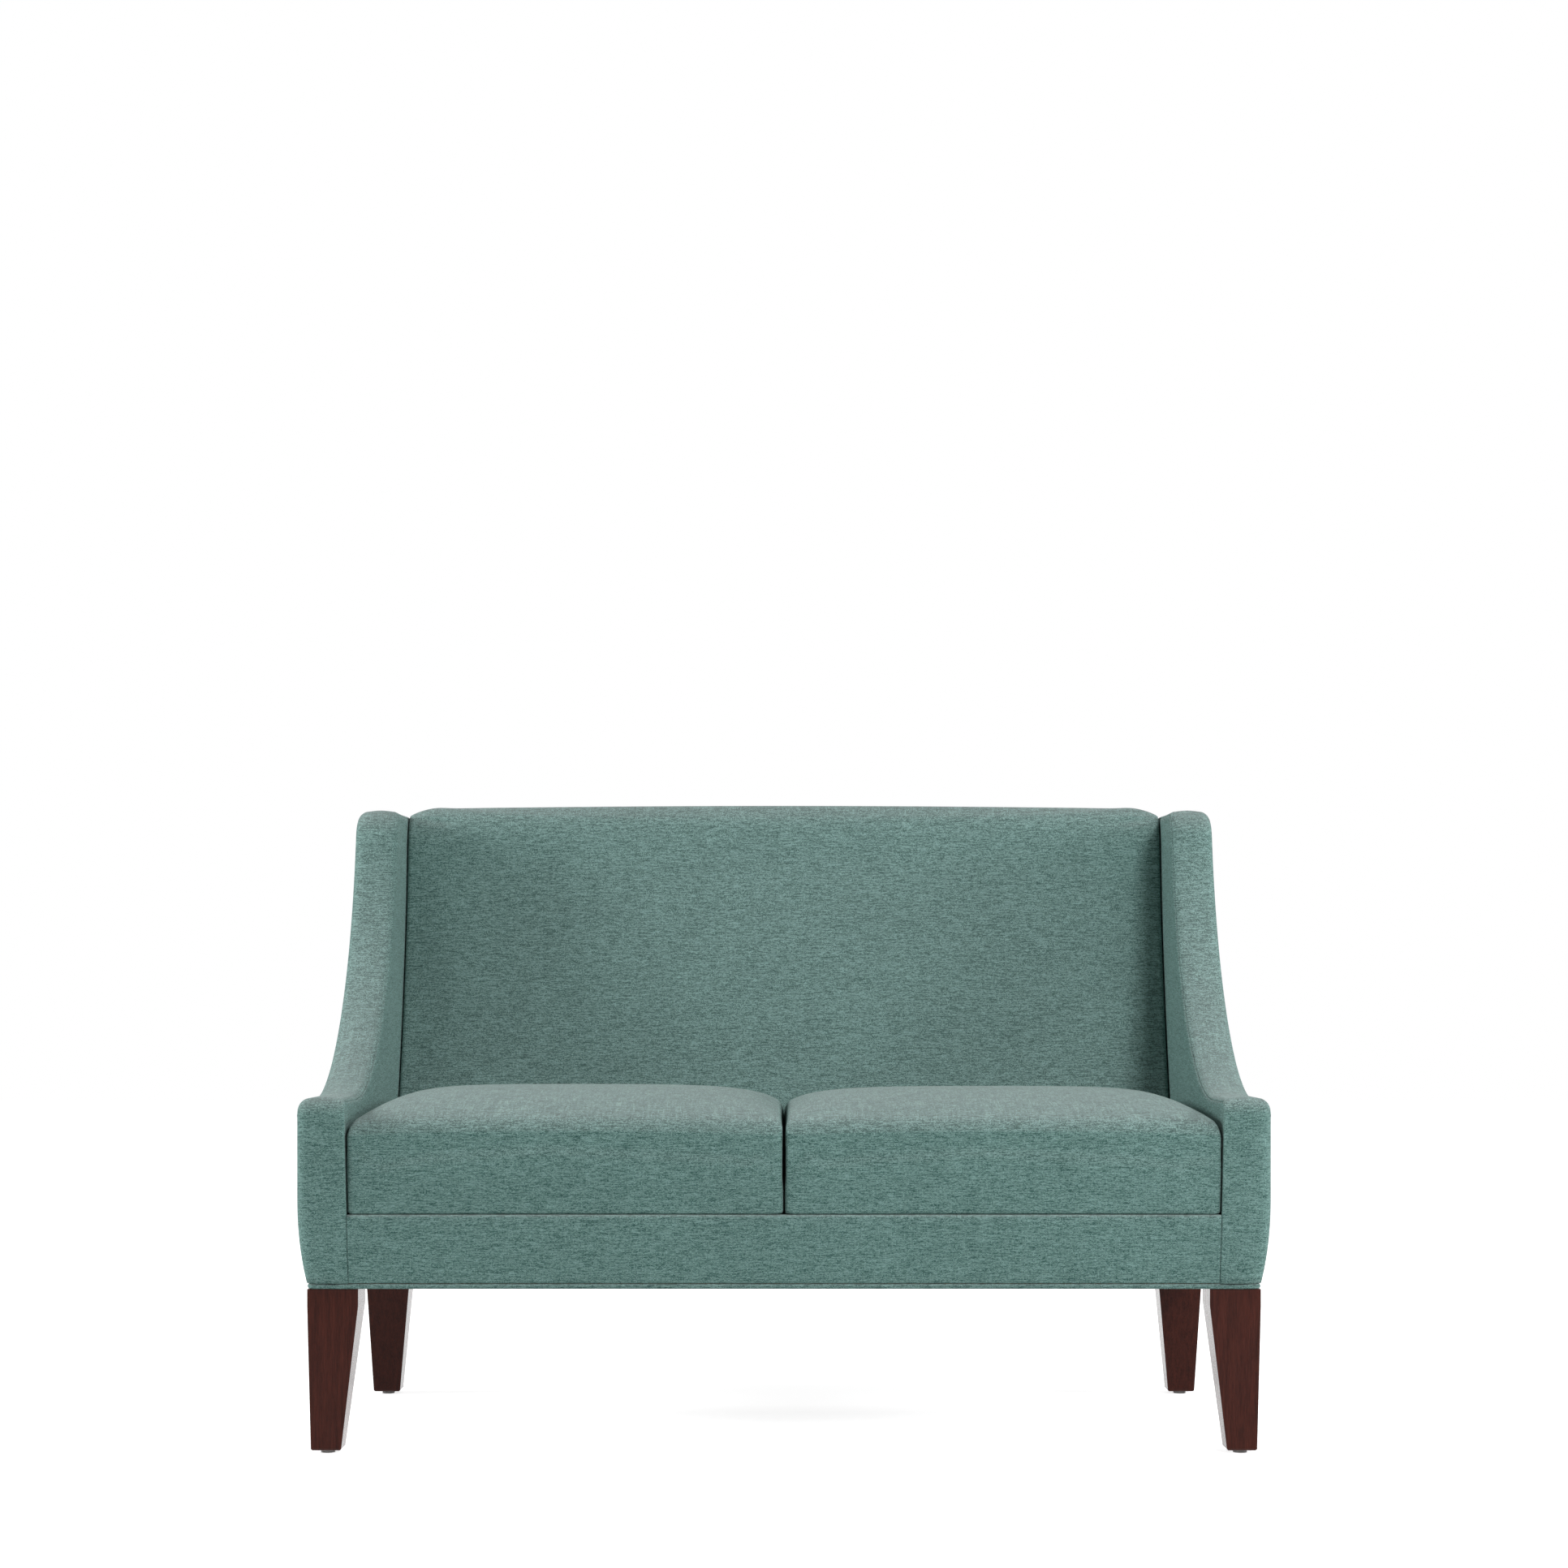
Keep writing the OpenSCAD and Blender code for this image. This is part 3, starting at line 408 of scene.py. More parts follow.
        streaks = [shader.times(self.drift(shader, u, row, stretch, at), strength)
                   for stretch, at, strength in (self.short_streak, self.long_streak)]
        weft = shader.plus(*streaks)
        end = shader.times(self.drift(shader, v, column, *self.warp_streak),
                           shader.ramp(level, 0.0, 1.0, *self.warp_shows))
        warp = shader.plus(shader.times(weft, self.weft_in_warp), end)
        warp = shader.plus(warp, self.warp_tone)
        turn = shader.maths("PINGPONG", shader.plus(column, row), 1.0)
        tone = shader.plus(shader.blend(turn, weft, warp, "FLOAT"),
                           shader.times(fleck, self.fleck))
        tone = shader.times(tone, shader.ramp(axis["Z"], 0.0, self.level_at, *self.contrast))
        tone = shader.maths("ADD", tone, self.mean_tone, clamp=True)

        over, under = [shader.times(self.bow(shader, top, self.bow_over),
                                    self.bow(shader, low, self.bow_under))
                       for top, low in ((v, u), (u, v))]
        height = shader.blend(turn, over, under, "FLOAT")
        colour = shader.blend(tone, given["Dark"], given["Light"])
        nap = shader.noise(shader.scaled(place, self.nap_scales), 1.0, 2.0, self.nap_rough)
        nap = shader.times(shader.minus(nap, 0.5),
                           shader.ramp(axis["Z"], self.nap_from, self.level_at, *self.nap))
        cloud = shader.ramp(shader.noise(place, self.cloud_scale, 2.0), *self.cloud_span,
                            *self.cloud)
        # painted shade and highlight: colour scaled by the yarns' height, darker in the gaps
        shade = shader.times(shader.plus(cloud, nap),
                             shader.ramp(height, 0.0, self.top_height, *self.gap_shade))
        grey = shader.node("CombineColor")
        for socket in grey.inputs:
            shader.feed(socket, shade)
        rise = shader.times(fleck, self.fleck_height)
        return {"Color": shader.blend(1.0, colour, grey.outputs[0], how="MULTIPLY"),
                "Height": shader.plus(height, rise),
                "Roughness": shader.ramp(tone, *self.rough_span, *self.rough)}


@dataclass(frozen=True)
class GrainPattern:
    """Wood grain of wavy rings and fine pores, along the axis that Stretch makes longest."""

    wave: float = 0.35
    rings: float = 1.6
    rings_rough: float = 0.62
    rings_span: Row = (0.3, 0.7)
    rings_part: float = 0.68
    pores: float = 7.5
    pores_rough: float = 0.7
    pores_span: Row = (0.42, 0.6)
    pores_part: float = 0.32
    pores_height: float = 0.7
    rough: Row = (0.44, 0.3)

    def fill(self, shader: Shader, given: dict) -> dict:
        """Fills the grain's group.

        Args:
            shader: the group's shader.
            given: the group's inputs.

        Returns:
            The group's outputs.
        """
        place = shader.node("TexCoord").outputs["Object"]
        drawn = shader.scaled(place, given["Stretch"])
        moved = shader.node("VectorMath", operation="ADD")
        shader.feed(moved.inputs[0], drawn)
        shader.feed(moved.inputs[1], shader.noise(drawn, self.wave, 2.0))
        rings = shader.noise(moved.outputs[0], self.rings, 4.0, self.rings_rough)
        pores = shader.noise(drawn, self.pores, 2.0, self.pores_rough)
        figure = shader.ramp(rings, *self.rings_span)
        fine = shader.ramp(pores, *self.pores_span)
        tone = shader.plus(shader.times(figure, self.rings_part),
                           shader.times(fine, self.pores_part))
        rise = shader.times(fine, self.pores_height)
        return {"Color": shader.blend(tone, given["Dark"], given["Light"]),
                "Height": shader.plus(rise, figure),
                "Roughness": shader.ramp(tone, 0.0, 1.0, *self.rough)}


@dataclass(frozen=True)
class SpecklePattern:
    """The fine and the broad variation of plain stuffs, the fine one drawn out by Stretch."""

    fine_rough: float = 0.65
    fine_part: float = 0.75
    broad: float = 22.0
    broad_part: float = 0.25
    tone_span: Row = (0.34, 0.66)
    wear_span: Row = (0.4, 0.75)

    def fill(self, shader: Shader, given: dict) -> dict:
        """Fills the speckle's group.

        Args:
            shader: the group's shader.
            given: the group's inputs.

        Returns:
            The group's outputs.
        """
        place = shader.node("TexCoord").outputs["Object"]
        drawn = shader.scaled(place, given["Stretch"])
        fine = shader.noise(drawn, 1.0, 3.0, self.fine_rough)
        broad = shader.noise(place, self.broad, 2.0)
        mixed = shader.plus(shader.times(fine, self.fine_part),
                            shader.times(broad, self.broad_part))
        tone = shader.ramp(mixed, *self.tone_span)
        return {"Color": shader.blend(tone, given["Dark"], given["Light"]), "Height": fine,
                "Wear": shader.ramp(broad, *self.wear_span)}


class Effects:
    """The node groups that the finishes share."""

    def __init__(self) -> None:
        dark = ("Dark", "NodeSocketColor", (0.1, 0.1, 0.1, 1.0))
        light = ("Light", "NodeSocketColor", (0.5, 0.5, 0.5, 1.0))
        stretch = ("Stretch", "NodeSocketVector", (1.0, 1.0, 1.0))
        colour = ("Color", "NodeSocketColor")
        height = ("Height", "NodeSocketFloat")
        rough = ("Roughness", "NodeSocketFloat")
        count = ("Count", "NodeSocketFloat", 600.0)
        self.weave = EffectGroup("heather_weave", [dark, light, count], [colour, height, rough],
                                 WeavePattern().fill)
        self.grain = EffectGroup("wood_grain", [dark, light, stretch], [colour, height, rough],
                                 GrainPattern().fill)
        wear = ("Wear", "NodeSocketFloat")
        self.speckle = EffectGroup("speckle", [dark, light, stretch], [colour, height, wear],
                                   SpecklePattern().fill)


def empty_tree(owner: bpy.types.ID) -> Shader:
    """Empties the node tree of a material or world, and returns its shader."""
    owner.use_nodes = True
    owner.node_tree.nodes.clear()
    return Shader(owner.node_tree)


def open_material(name: str) -> tuple[bpy.types.Material, Shader, Node]:
    """Makes a material with a Principled BSDF.

    Args:
        name: the material's name.

    Returns:
        The material, its shader and its Principled BSDF node.
    """
    material = bpy.data.materials.new(name)
    shader = empty_tree(material)
    surface = shader.node("BsdfPrincipled")
    shader.feed(shader.node("OutputMaterial").inputs["Surface"], surface.outputs[0])
    return material, shader, surface


def raise_bump(shader: Shader, surface: Node, height: Socket, depth: float,
               strength: float) -> None:
    """Feeds a height to the surface's normal.

    Args:
        shader: the material's shader.
        surface: the Principled BSDF node.
        height: the height, from about 0 to 1.
        depth: the bump's distance in metres.
        strength: the bump's strength.
    """
    bump = shader.node("Bump")
    shader.set(bump, {"Strength": strength, "Distance": depth, "Height": height})
    shader.feed(surface.inputs["Normal"], bump.outputs[0])


@dataclass(frozen=True)
class HeatherCloth:
    """The settee's upholstery: a flat weave of mixed light and dark teal yarn. Faces that look up
    are blended towards pale grey, as a painted sheen.
    """

    name: str = "heathered_upholstery"
    dark: Row = (0.03, 0.082, 0.072, 1.0)
    light: Row = (0.2, 0.335, 0.31, 1.0)
    count: float = 606.0
    # painted sheen: the pale grey that upward faces are blended towards, by up to the next share
    faded: Row = (0.5, 0.53, 0.53, 1.0)
    fade: float = 0.215
    fade_from: float = 0.02
    fade_to: float = 0.9
    specular: float = 0.18
    sheen: float = 0.1
    sheen_rough: float = 0.5
    sheen_tint: Row = (0.9, 0.97, 0.96, 1.0)
    bump_depth: float = 0.0005
    bump: float = 0.35

    def material(self, effects: Effects) -> bpy.types.Material:
        """Returns the finish's material."""
        material, shader, surface = open_material(self.name)
        yarn = effects.weave.put(shader, Dark=self.dark, Light=self.light, Count=self.count)
        axis = shader.apart(shader.node("NewGeometry").outputs["Normal"])
        # painted sheen: blends the yarn colour towards pale grey as the face turns upward
        upward = shader.ramp(axis["Z"], self.fade_from, self.fade_to, 0.0, self.fade)
        shader.set(surface, {
            "Base Color": shader.blend(upward, yarn["Color"], self.faded),
            "Roughness": yarn["Roughness"], "Specular IOR Level": self.specular,
            "Sheen Weight": self.sheen, "Sheen Roughness": self.sheen_rough,
            "Sheen Tint": self.sheen_tint})
        raise_bump(shader, surface, yarn["Height"], self.bump_depth, self.bump)
        return material


@dataclass(frozen=True)
class StainedWood:
    """Wood with its grain along one axis, stained and lacquered, or left as planed."""

    name: str
    dark: Row
    light: Row
    stretch: Row
    coat: float = 0.0
    coat_rough: float = 0.2
    coat_ior: float = 1.5
    specular: float = 0.35
    bump_depth: float = 0.0002
    bump: float = 0.4

    def material(self, effects: Effects) -> bpy.types.Material:
        """Returns the finish's material."""
        material, shader, surface = open_material(self.name)
        grain = effects.grain.put(shader, Dark=self.dark, Light=self.light, Stretch=self.stretch)
        shader.set(surface, {
            "Base Color": grain["Color"], "Roughness": grain["Roughness"],
            "Coat Weight": self.coat, "Coat Roughness": self.coat_rough,
            "Coat IOR": self.coat_ior, "Specular IOR Level": self.specular})
        raise_bump(shader, surface, grain["Height"], self.bump_depth, self.bump)
        return material


@dataclass(frozen=True)
class PlainStuff:
    """A stuff of one colour with a fine variation, such as foam, felt, steel or plastic."""

    name: str
    dark: Row
    light: Row
    stretch: Row
    rough: tuple[float, float] = (0.8, 0.95)
    metal: float = 0.0
    bump_depth: float = 0.0003
    bump: float = 0.5

    def material(self, effects: Effects) -> bpy.types.Material:
        """Returns the finish's material."""
        material, shader, surface = open_material(self.name)
        stuff = effects.speckle.put(shader, Dark=self.dark, Light=self.light, Stretch=self.stretch)
        rough = shader.ramp(stuff["Wear"], 0.0, 1.0, *self.rough)
        shader.set(surface, {"Base Color": stuff["Color"], "Roughness": rough,
                             "Metallic": self.metal})
        raise_bump(shader, surface, stuff["Height"], self.bump_depth, self.bump)
        return material


class Finishes:
    """Every finish of the settee, made once and handed out by slot."""

    BY_SLOT = {
        Slot.FRAME_WOOD: StainedWood(
            "planed_hardwood", (0.42, 0.25, 0.12, 1.0), (0.66, 0.45, 0.26, 1.0),
            (9.0, 90.0, 90.0)),
        Slot.BOARD: PlainStuff(
            "hardboard", (0.13, 0.07, 0.035, 1.0), (0.22, 0.13, 0.07, 1.0), (300.0,) * 3,
            rough=(0.5, 0.7)),
        Slot.FOAM: PlainStuff(
            "cut_foam", (0.6, 0.5, 0.3, 1.0), (0.82, 0.74, 0.5, 1.0), (900.0,) * 3),
        Slot.WEBBING: PlainStuff(
            "elastic_webbing", (0.02,) * 3 + (1.0,), (0.08,) * 3 + (1.0,), (700.0, 90.0, 700.0)),
        Slot.LINING: PlainStuff(
            "black_felt", (0.008, 0.008, 0.009, 1.0), (0.032, 0.032, 0.034, 1.0), (500.0,) * 3),
        Slot.STEEL: PlainStuff(
            "zinc_plate", (0.42, 0.42, 0.43, 1.0), (0.62, 0.62, 0.6, 1.0), (200.0, 200.0, 900.0),
            rough=(0.25, 0.42), metal=1.0, bump_depth=0.0001),
        Slot.BRASS: PlainStuff(
            "turned_brass", (0.5, 0.34, 0.12, 1.0), (0.72, 0.53, 0.24, 1.0), (200.0, 200.0, 900.0),
            rough=(0.2, 0.36), metal=1.0, bump_depth=0.0001),
        Slot.GLIDE_PLASTIC: PlainStuff(
            "glide_plastic", (0.5, 0.5, 0.49, 1.0), (0.62, 0.62, 0.6, 1.0), (300.0,) * 3,
            rough=(0.38, 0.6), bump_depth=0.0001),
        Slot.ZIP: PlainStuff(
            "zip_tape", (0.02, 0.04, 0.035, 1.0), (0.06, 0.1, 0.09, 1.0), (1200.0, 1200.0, 400.0)),
        Slot.LEG_WOOD: StainedWood(
            "cherry_stain", (0.024, 0.0048, 0.0026, 1.0), (0.068, 0.0145, 0.0085, 1.0),
            (120.0, 120.0, 9.0), coat=1.0, coat_ior=1.18, specular=0.03),
        Slot.UPHOLSTERY: HeatherCloth(),
    }

    def __init__(self) -> None:
        effects = Effects()
        self.materials = {slot: kind.material(effects) for slot, kind in self.BY_SLOT.items()}

    def dress(self, piece: bpy.types.Object, slot: Slot) -> None:
        """Gives a piece the material of its slot."""
        material = self.materials[slot]
        if piece.material_slots:
            for place in piece.material_slots:
                place.link = "OBJECT"
                place.material = material
        else:
            piece.data.materials.append(material)

    def cover(self, piece: bpy.types.Object, slot: Slot) -> None:
        """Gives a new piece the material of its slot, and reports it."""
        self.dress(piece, slot)
        log.info("built %s", piece.name)


@dataclass
class Shell:
    """Points and faces gathered for one piece, in millimetres.

    Points nearer than WELD metres become one, and shorter edges than LEAST_EDGE go.
    """

    WELD = 0.00002
    LEAST_EDGE = 0.00001

    points: list = field(default_factory=list)
    faces: list = field(default_factory=list)

    def add_points(self, points: np.ndarray) -> int:
        """Adds points and returns the number of the first."""
        first = len(self.points)
        self.points.extend(np.asarray(points, float).reshape(-1, 3).tolist())
        return first

    def add_grid(self, grid: np.ndarray, round_first: bool = False,
                 round_second: bool = False) -> int:
        """Adds a grid of points and the quads between them.

        Args:
            grid: points by row and column.
            round_first: joins the last row to the first.
            round_second: joins the last column to the first.

        Returns:
            The number of the grid's first point.
        """
        rows, columns = grid.shape[:2]
        first = self.add_points(grid)
        for i in range(rows if round_first else rows - 1):
            for j in range(columns if round_second else columns - 1):
                k, m = (i + 1) % rows, (j + 1) % columns
                self.faces.append([first + i * columns + j, first + k * columns + j,
                                   first + k * columns + m, first + i * columns + m])
        return first

    def mirrored(self) -> "Shell":
        """Returns the shell mirrored to the other side of the settee."""
        return Shell([[-x, y, z] for x, y, z in self.points],
                     [face[::-1] for face in self.faces])

    def on(self, side: Side) -> "Shell":
        """Returns the shell, built for the right, on the side asked for."""
        return self if side is Side.RIGHT else self.mirrored()

    def piece(self, name: str) -> bpy.types.Object:
        """Makes the object, in metres in the row frame, with welded points and outward faces."""
        places = (np.array(self.points) - FROM_FRONT) * MM
        mesh = bpy.data.meshes.new(name)
        mesh.from_pydata(places.tolist(), [], self.faces)
        work = bmesh.new()
        work.from_mesh(mesh)
        bmesh.ops.remove_doubles(work, verts=work.verts, dist=self.WELD)
        bmesh.ops.dissolve_degenerate(work, dist=self.LEAST_EDGE, edges=work.edges)
        bmesh.ops.recalc_face_normals(work, faces=work.faces)
        work.to_mesh(mesh)
        work.free()
        mesh.shade_smooth()
        made = bpy.data.objects.new(name, mesh)
        bpy.context.scene.collection.objects.link(made)
        return made


@dataclass(frozen=True)
class CoverSheet:
    """A cut of cloth or felt, drawn over the frame.

    Args:
        name: the piece's name.
        outward: the direction that its face side looks in.
        flat: width and length of the cut, in metres.
        rests_on: the nodes that it is stretched over; not used.
        replaced: the CAD nodes that it stands for.
        thickness: its thickness in millimetres.
        slot: its slot in the record.
    """

    name: str
    outward: Row
    flat: tuple[float, float]
    rests_on: tuple[str, ...]
    replaced: tuple[str, ...]
    thickness: float = 1.4
    slot: Slot = Slot.UPHOLSTERY

    def lay(self, shell: Shell, finishes: Finishes) -> None:
        piece = shell.piece(self.name)
        faces, way = piece.data.polygons, Vector(self.outward)
        if sum(face.area * face.normal.dot(way) for face in faces) < 0.0:
            piece.data.flip_normals()
        area = min(sum(face.area for face in faces), self.flat[0] * self.flat[1])
        thick = piece.modifiers.new("cloth_thickness", "SOLIDIFY")
        thick.thickness = self.thickness * MM
        thick.offset = -1.0
        list(self.rests_on)
        log.info("%s: cut %.2f x %.2f m, %.2f m2", piece.name, *self.flat, area)
        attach(piece, "frame")
        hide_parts(*self.replaced)
        finishes.cover(piece, self.slot)


@dataclass(frozen=True)
class SoftEdge:
    """How the face of a sheet falls away at its edges, in millimetres.

    Args:
        places: distances from the edge.
        sinks: how far the sheet lies below its face at each of them.
    """

    places: tuple[float, ...]
    sinks: tuple[float, ...]

    def run(self, low: float, high: float, middle: np.ndarray) -> tuple[np.ndarray, np.ndarray]:
        """Returns places from low through middle to high, and how far each lies down."""
        edge, sink = np.array(self.places), np.array(self.sinks)
        return (np.concatenate([low + edge, middle, high - edge[::-1]]),
                np.concatenate([sink, np.zeros(len(middle)), sink[::-1]]))


@dataclass(frozen=True)
class Seam:
    """A sewn seam: both sheets turn in over a small radius and go down into the padding."""

    radius: float = 1.3
    depth: float = 5.0
    turns: tuple[float, ...] = (90.0, 60.0, 30.0, 0.0)

    def edge(self, start: np.ndarray, along: np.ndarray, inward: np.ndarray) -> list[np.ndarray]:
        """Returns the points of a sheet's turned edge, from its hidden end to its face.

        Args:
            start: the seam's point on the face.
            along: unit direction from the seam into the sheet.
            inward: unit direction into the padding.
        """
        rows = [start + inward * self.depth]
        for turn in self.turns:
            a = math.radians(turn)
            rows.append(start + along * self.radius * (1.0 - math.sin(a))
                        + inward * self.radius * (1.0 - math.cos(a)))
        return rows


@dataclass
class Inflation:
    """Blows a padded piece up with cloth simulation and keeps the result.

    No point moves by more than cap, in millimetres.
    """

    pressure: float
    cap: float
    last_frame: int = 20
    tension: float = 18.0
    bending: float = 6.0
    quality: int = 6
    mass: float = 0.3

    def run(self, piece: bpy.types.Object, held: np.ndarray) -> None:
        """Simulates the piece and writes the swollen shape to its mesh.

        Args:
            piece: the closed mesh.
            held: how firmly each point stays, from 0 to 1.
        """
        mesh = piece.data
        group = piece.vertex_groups.new(name="held")
        for index, weight in enumerate(held.tolist()):
            if weight > 0.0:
                group.add([index], weight, "REPLACE")
        cloth = piece.modifiers.new("cloth", "CLOTH")
        made = cloth.settings
        made.quality = self.quality
        made.mass = self.mass
        made.tension_stiffness = self.tension
        made.compression_stiffness = self.tension
        made.shear_stiffness = self.tension / 2.0
        made.bending_stiffness = self.bending
        made.use_pressure = True
        made.uniform_pressure_force = self.pressure
        made.vertex_group_mass = group.name
        made.effector_weights.gravity = 0.0
        cloth.collision_settings.use_collision = False
        cloth.point_cache.frame_start = 1
        cloth.point_cache.frame_end = self.last_frame
        scene = bpy.context.scene
        for frame in range(1, self.last_frame + 1):
            scene.frame_set(frame)
        blown = piece.evaluated_get(bpy.context.evaluated_depsgraph_get()).data
        rest = read_points(mesh)
        step = read_points(blown) - rest
        length = np.linalg.norm(step, axis=1, keepdims=True)
        cap = self.cap * MM
        step *= cap * np.tanh(length / cap) / np.maximum(length, 1e-9)
        grown = np.linalg.norm(step, axis=1) / MM
        log.info("%s: swells by up to %.1f mm, %.1f mm on average", piece.name, grown.max(),
                 grown.mean())
        piece.modifiers.remove(cloth)
        piece.vertex_groups.remove(group)
        write_points(mesh, rest + step)
        scene.frame_set(1)


def reshape_points(piece: bpy.types.Object, change: Callable[[np.ndarray], np.ndarray]) -> None:
    """Changes a piece's points, handed over and returned in millimetres from the arm fronts.

    Args:
        piece: the piece.
        change: takes the points and returns them changed.
    """
    write_points(piece.data, (change(shaped_points(piece)) - FROM_FRONT) * MM)


def refine(piece: bpy.types.Object) -> None:
    """Adds one subdivision to a rounded piece."""
    smooth = piece.modifiers.new("subdivision", "SUBSURF")
    smooth.levels = smooth.render_levels = 1


@dataclass(frozen=True)
class Body:
    """Sizes that the upholstered pieces share, in millimetres.

    Below tuck_from the arms' outer faces draw in by up to tuck. Below lean_from the inner edges
    of their fronts lean in by up to lean, and the cushions and the rail's cover follow them.
    """

    arm_in: float = 595.0
    arm_out: float = 660.0
    cloth_z: float = 230.9
    seat_z: float = 324.0
    rear: float = 760.0
    wing_h: float = 908.0
    heel_r: float = 25.0
    outer_rake: float = 5.2
    tuck: float = 14.4
    tuck_from: float = 345.0
    tuck_h: float = 120.0
    tuck_most: float = 1.02
    tuck_power: float = 2.2
    lean: float = 6.5
    lean_from: float = 470.0
    lean_power: float = 1.2
    lean_reach: float = 20.0

    def outside_y(self, z: np.ndarray) -> np.ndarray:
        """Returns the depth of the outside back at height z."""
        rake = math.radians(self.outer_rake)
        return (self.rear + self.heel_r * (1.0 / math.cos(rake) - 1.0)
                - (self.wing_h - self.heel_r - np.asarray(z, float)) * math.tan(rake))

    def tuck_at(self, z: np.ndarray) -> np.ndarray:
        """Returns how far the arms' outer faces draw in at height z."""
        low = (self.tuck_from - np.asarray(z, float)) / self.tuck_h
        return self.tuck * np.clip(low, 0.0, self.tuck_most) ** self.tuck_power

    def lean_at(self, y: np.ndarray, z: np.ndarray) -> np.ndarray:
        """Returns how far the inner edge of an arm's front leans in at depth y and height z."""
        drop = (self.lean_from - np.asarray(z, float)) / (self.lean_from - self.cloth_z)
        drop = np.clip(drop, 0.0, 1.0) ** self.lean_power
        return self.lean * drop * np.exp(-(np.asarray(y, float) / self.lean_reach) ** 2)


@dataclass
class Arm:
    """One upholstered arm and wing: the band round its edge and the covers of its sides.

    The rounds and turns are those of the front, of the sweep with the wing, and of the rear.
    Counts are the points along the front, its corner, the flat, the sweep, the wing's nose, its
    top, its heel and its rear. Section counts are those of the band's inner round, its face and
    its outer round, and of the inside cover's round.
    """

    body: Body
    side: Side
    finishes: Finishes
    height: float = 481.0
    flat: float = 135.0
    corner_r: float = 22.0
    nose_y: float = 563.0
    nose_deg: float = 76.0
    nose_r: float = 50.0
    low_pull: float = 180.0
    high_pull: float = 240.0
    inner_rounds: Row = (3.5, 13.0, 4.0)
    outer_rounds: Row = (17.0, 17.0, 11.0)
    seam_turns: Row = (8.0, 34.0, 20.0)
    crown: float = 1.6
    puff: float = 1.6
    puff_reach: float = 22.0
    outer_run: float = 3.0
    inside_rim: tuple[float, ...] = (3.0, 6.5, 10.0)
    outside_rim: tuple[float, ...] = (2.5, 4.2, 6.0)
    fill_step: float = 17.0
    fill_gap: float = 9.0
    blend_run: int = 4
    counts: tuple[int, ...] = (22, 10, 14, 56, 12, 10, 12, 46)
    section_counts: tuple[int, ...] = (6, 9, 9, 4)
    band_cut: tuple[float, float] = (0.13, 2.56)
    side_cut: tuple[float, float] = (0.71, 0.8)
    seam: Seam = Seam()

    def edge_line(self) -> tuple[np.ndarray, np.ndarray, np.ndarray]:
        """Works out the arm's edge, from the bottom of its front over the wing to its rear.

        Returns:
            Depth and height of each point, the outward direction there, and the share of each
            point in the front, the sweep with the wing, and the rear.
        """
        low, h, r = self.body.cloth_z, self.height, self.corner_r
        top, heel_r = self.body.wing_h, self.body.heel_r
        on_front, on_corner, on_flat, on_sweep, on_nose, on_top, on_heel, on_rear = self.counts
        parts: list[np.ndarray] = []
        kinds: list[tuple[float, float, float]] = []

        def add(points: Sequence[Row], kind: tuple[float, float, float]) -> None:
            """Adds a stretch of the edge."""
            parts.append(np.array(points, float))
            kinds.extend([kind] * len(points))

        front, sweep, rear = (1.0, 0.0, 0.0), (0.0, 1.0, 0.0), (0.0, 0.0, 1.0)
        add([(0.0, z) for z in np.linspace(low, h - r, on_front)], front)
        add([(r - r * math.cos(a), h - r + r * math.sin(a))
             for a in np.radians(np.linspace(0, 90, on_corner)[1:])], front)
        add([(y, h) for y in np.linspace(r, self.flat, on_flat)[1:]], sweep)
        turn = math.radians(self.nose_deg)
        start = np.array([self.flat, h])
        end = np.array([self.nose_y, top - self.nose_r * (1.0 - math.cos(turn))])
        pull_a = start + [self.low_pull, 0.0]
        pull_b = end - self.high_pull * np.array([math.cos(turn), math.sin(turn)])
        add([cubic(t, start, pull_a, pull_b, end) for t in np.linspace(0, 1, on_sweep)[1:]], sweep)
        centre = end + self.nose_r * np.array([math.sin(turn), -math.cos(turn)])
        add(arc(centre, self.nose_r, 90 + self.nose_deg, 90, on_nose), sweep)
        heel = np.array([self.body.rear - heel_r, top - heel_r])
        add([(y, top) for y in np.linspace(centre[0], heel[0], on_top)[1:]], sweep)
        add(arc(heel, heel_r, 90, -self.body.outer_rake, on_heel), rear)
        last = parts[-1][-1]
        add([(float(self.body.outside_y(z)), z)
             for z in np.linspace(last[1], low, on_rear)[1:]], rear)
        line = np.concatenate(parts)
        way = np.gradient(line, axis=0)
        way /= np.linalg.norm(way, axis=1, keepdims=True)
        outward = np.stack([-way[:, 1], way[:, 0]], axis=1)
        run = 2 * self.blend_run + 1
        kernel = np.ones(run) / run
        padded = np.pad(np.array(kinds), ((self.blend_run, self.blend_run), (0, 0)), mode="edge")
        shares = [np.convolve(column, kernel, mode="valid") for column in padded.T]
        return line, outward, np.stack(shares, axis=1)

    def settle(self, points: np.ndarray) -> np.ndarray:
        """Tucks the arm in at its bottom, and leans its front's inner edge to the rail cover."""
        made = points.copy()
        width = self.body.arm_out - self.body.arm_in
        share = np.clip((points[:, 0] - self.body.arm_in) / width, 0.0, 1.0)
        lean = self.body.lean_at(points[:, 1], points[:, 2]) * (1.0 - share)
        made[:, 0] -= self.body.tuck_at(points[:, 2]) * share + lean
        return made

    def section(self, kind: np.ndarray) -> tuple[list, list, list]:
        """Works out the band's and the covers' section at one place of the edge.

        Args:
            kind: the share of the front, the sweep and the rear there.

        Returns:
            The band's points, the inside cover's and the outside cover's, as distance from the
            arm's inner face and depth below its edge; the covers' start at the seam.
        """
        width = self.body.arm_out - self.body.arm_in
        inner_r = float(kind @ np.array(self.inner_rounds))
        start = math.radians(float(kind @ np.array(self.seam_turns)))
        outer_r = float(kind @ np.array(self.outer_rounds))
        on_inner, on_face, on_outer, on_inside = self.section_counts

        def inner(a: float) -> np.ndarray:
            """Returns a point of the inner round."""
            return np.array([inner_r * (1 - math.cos(a)), inner_r * (1 - math.sin(a))])

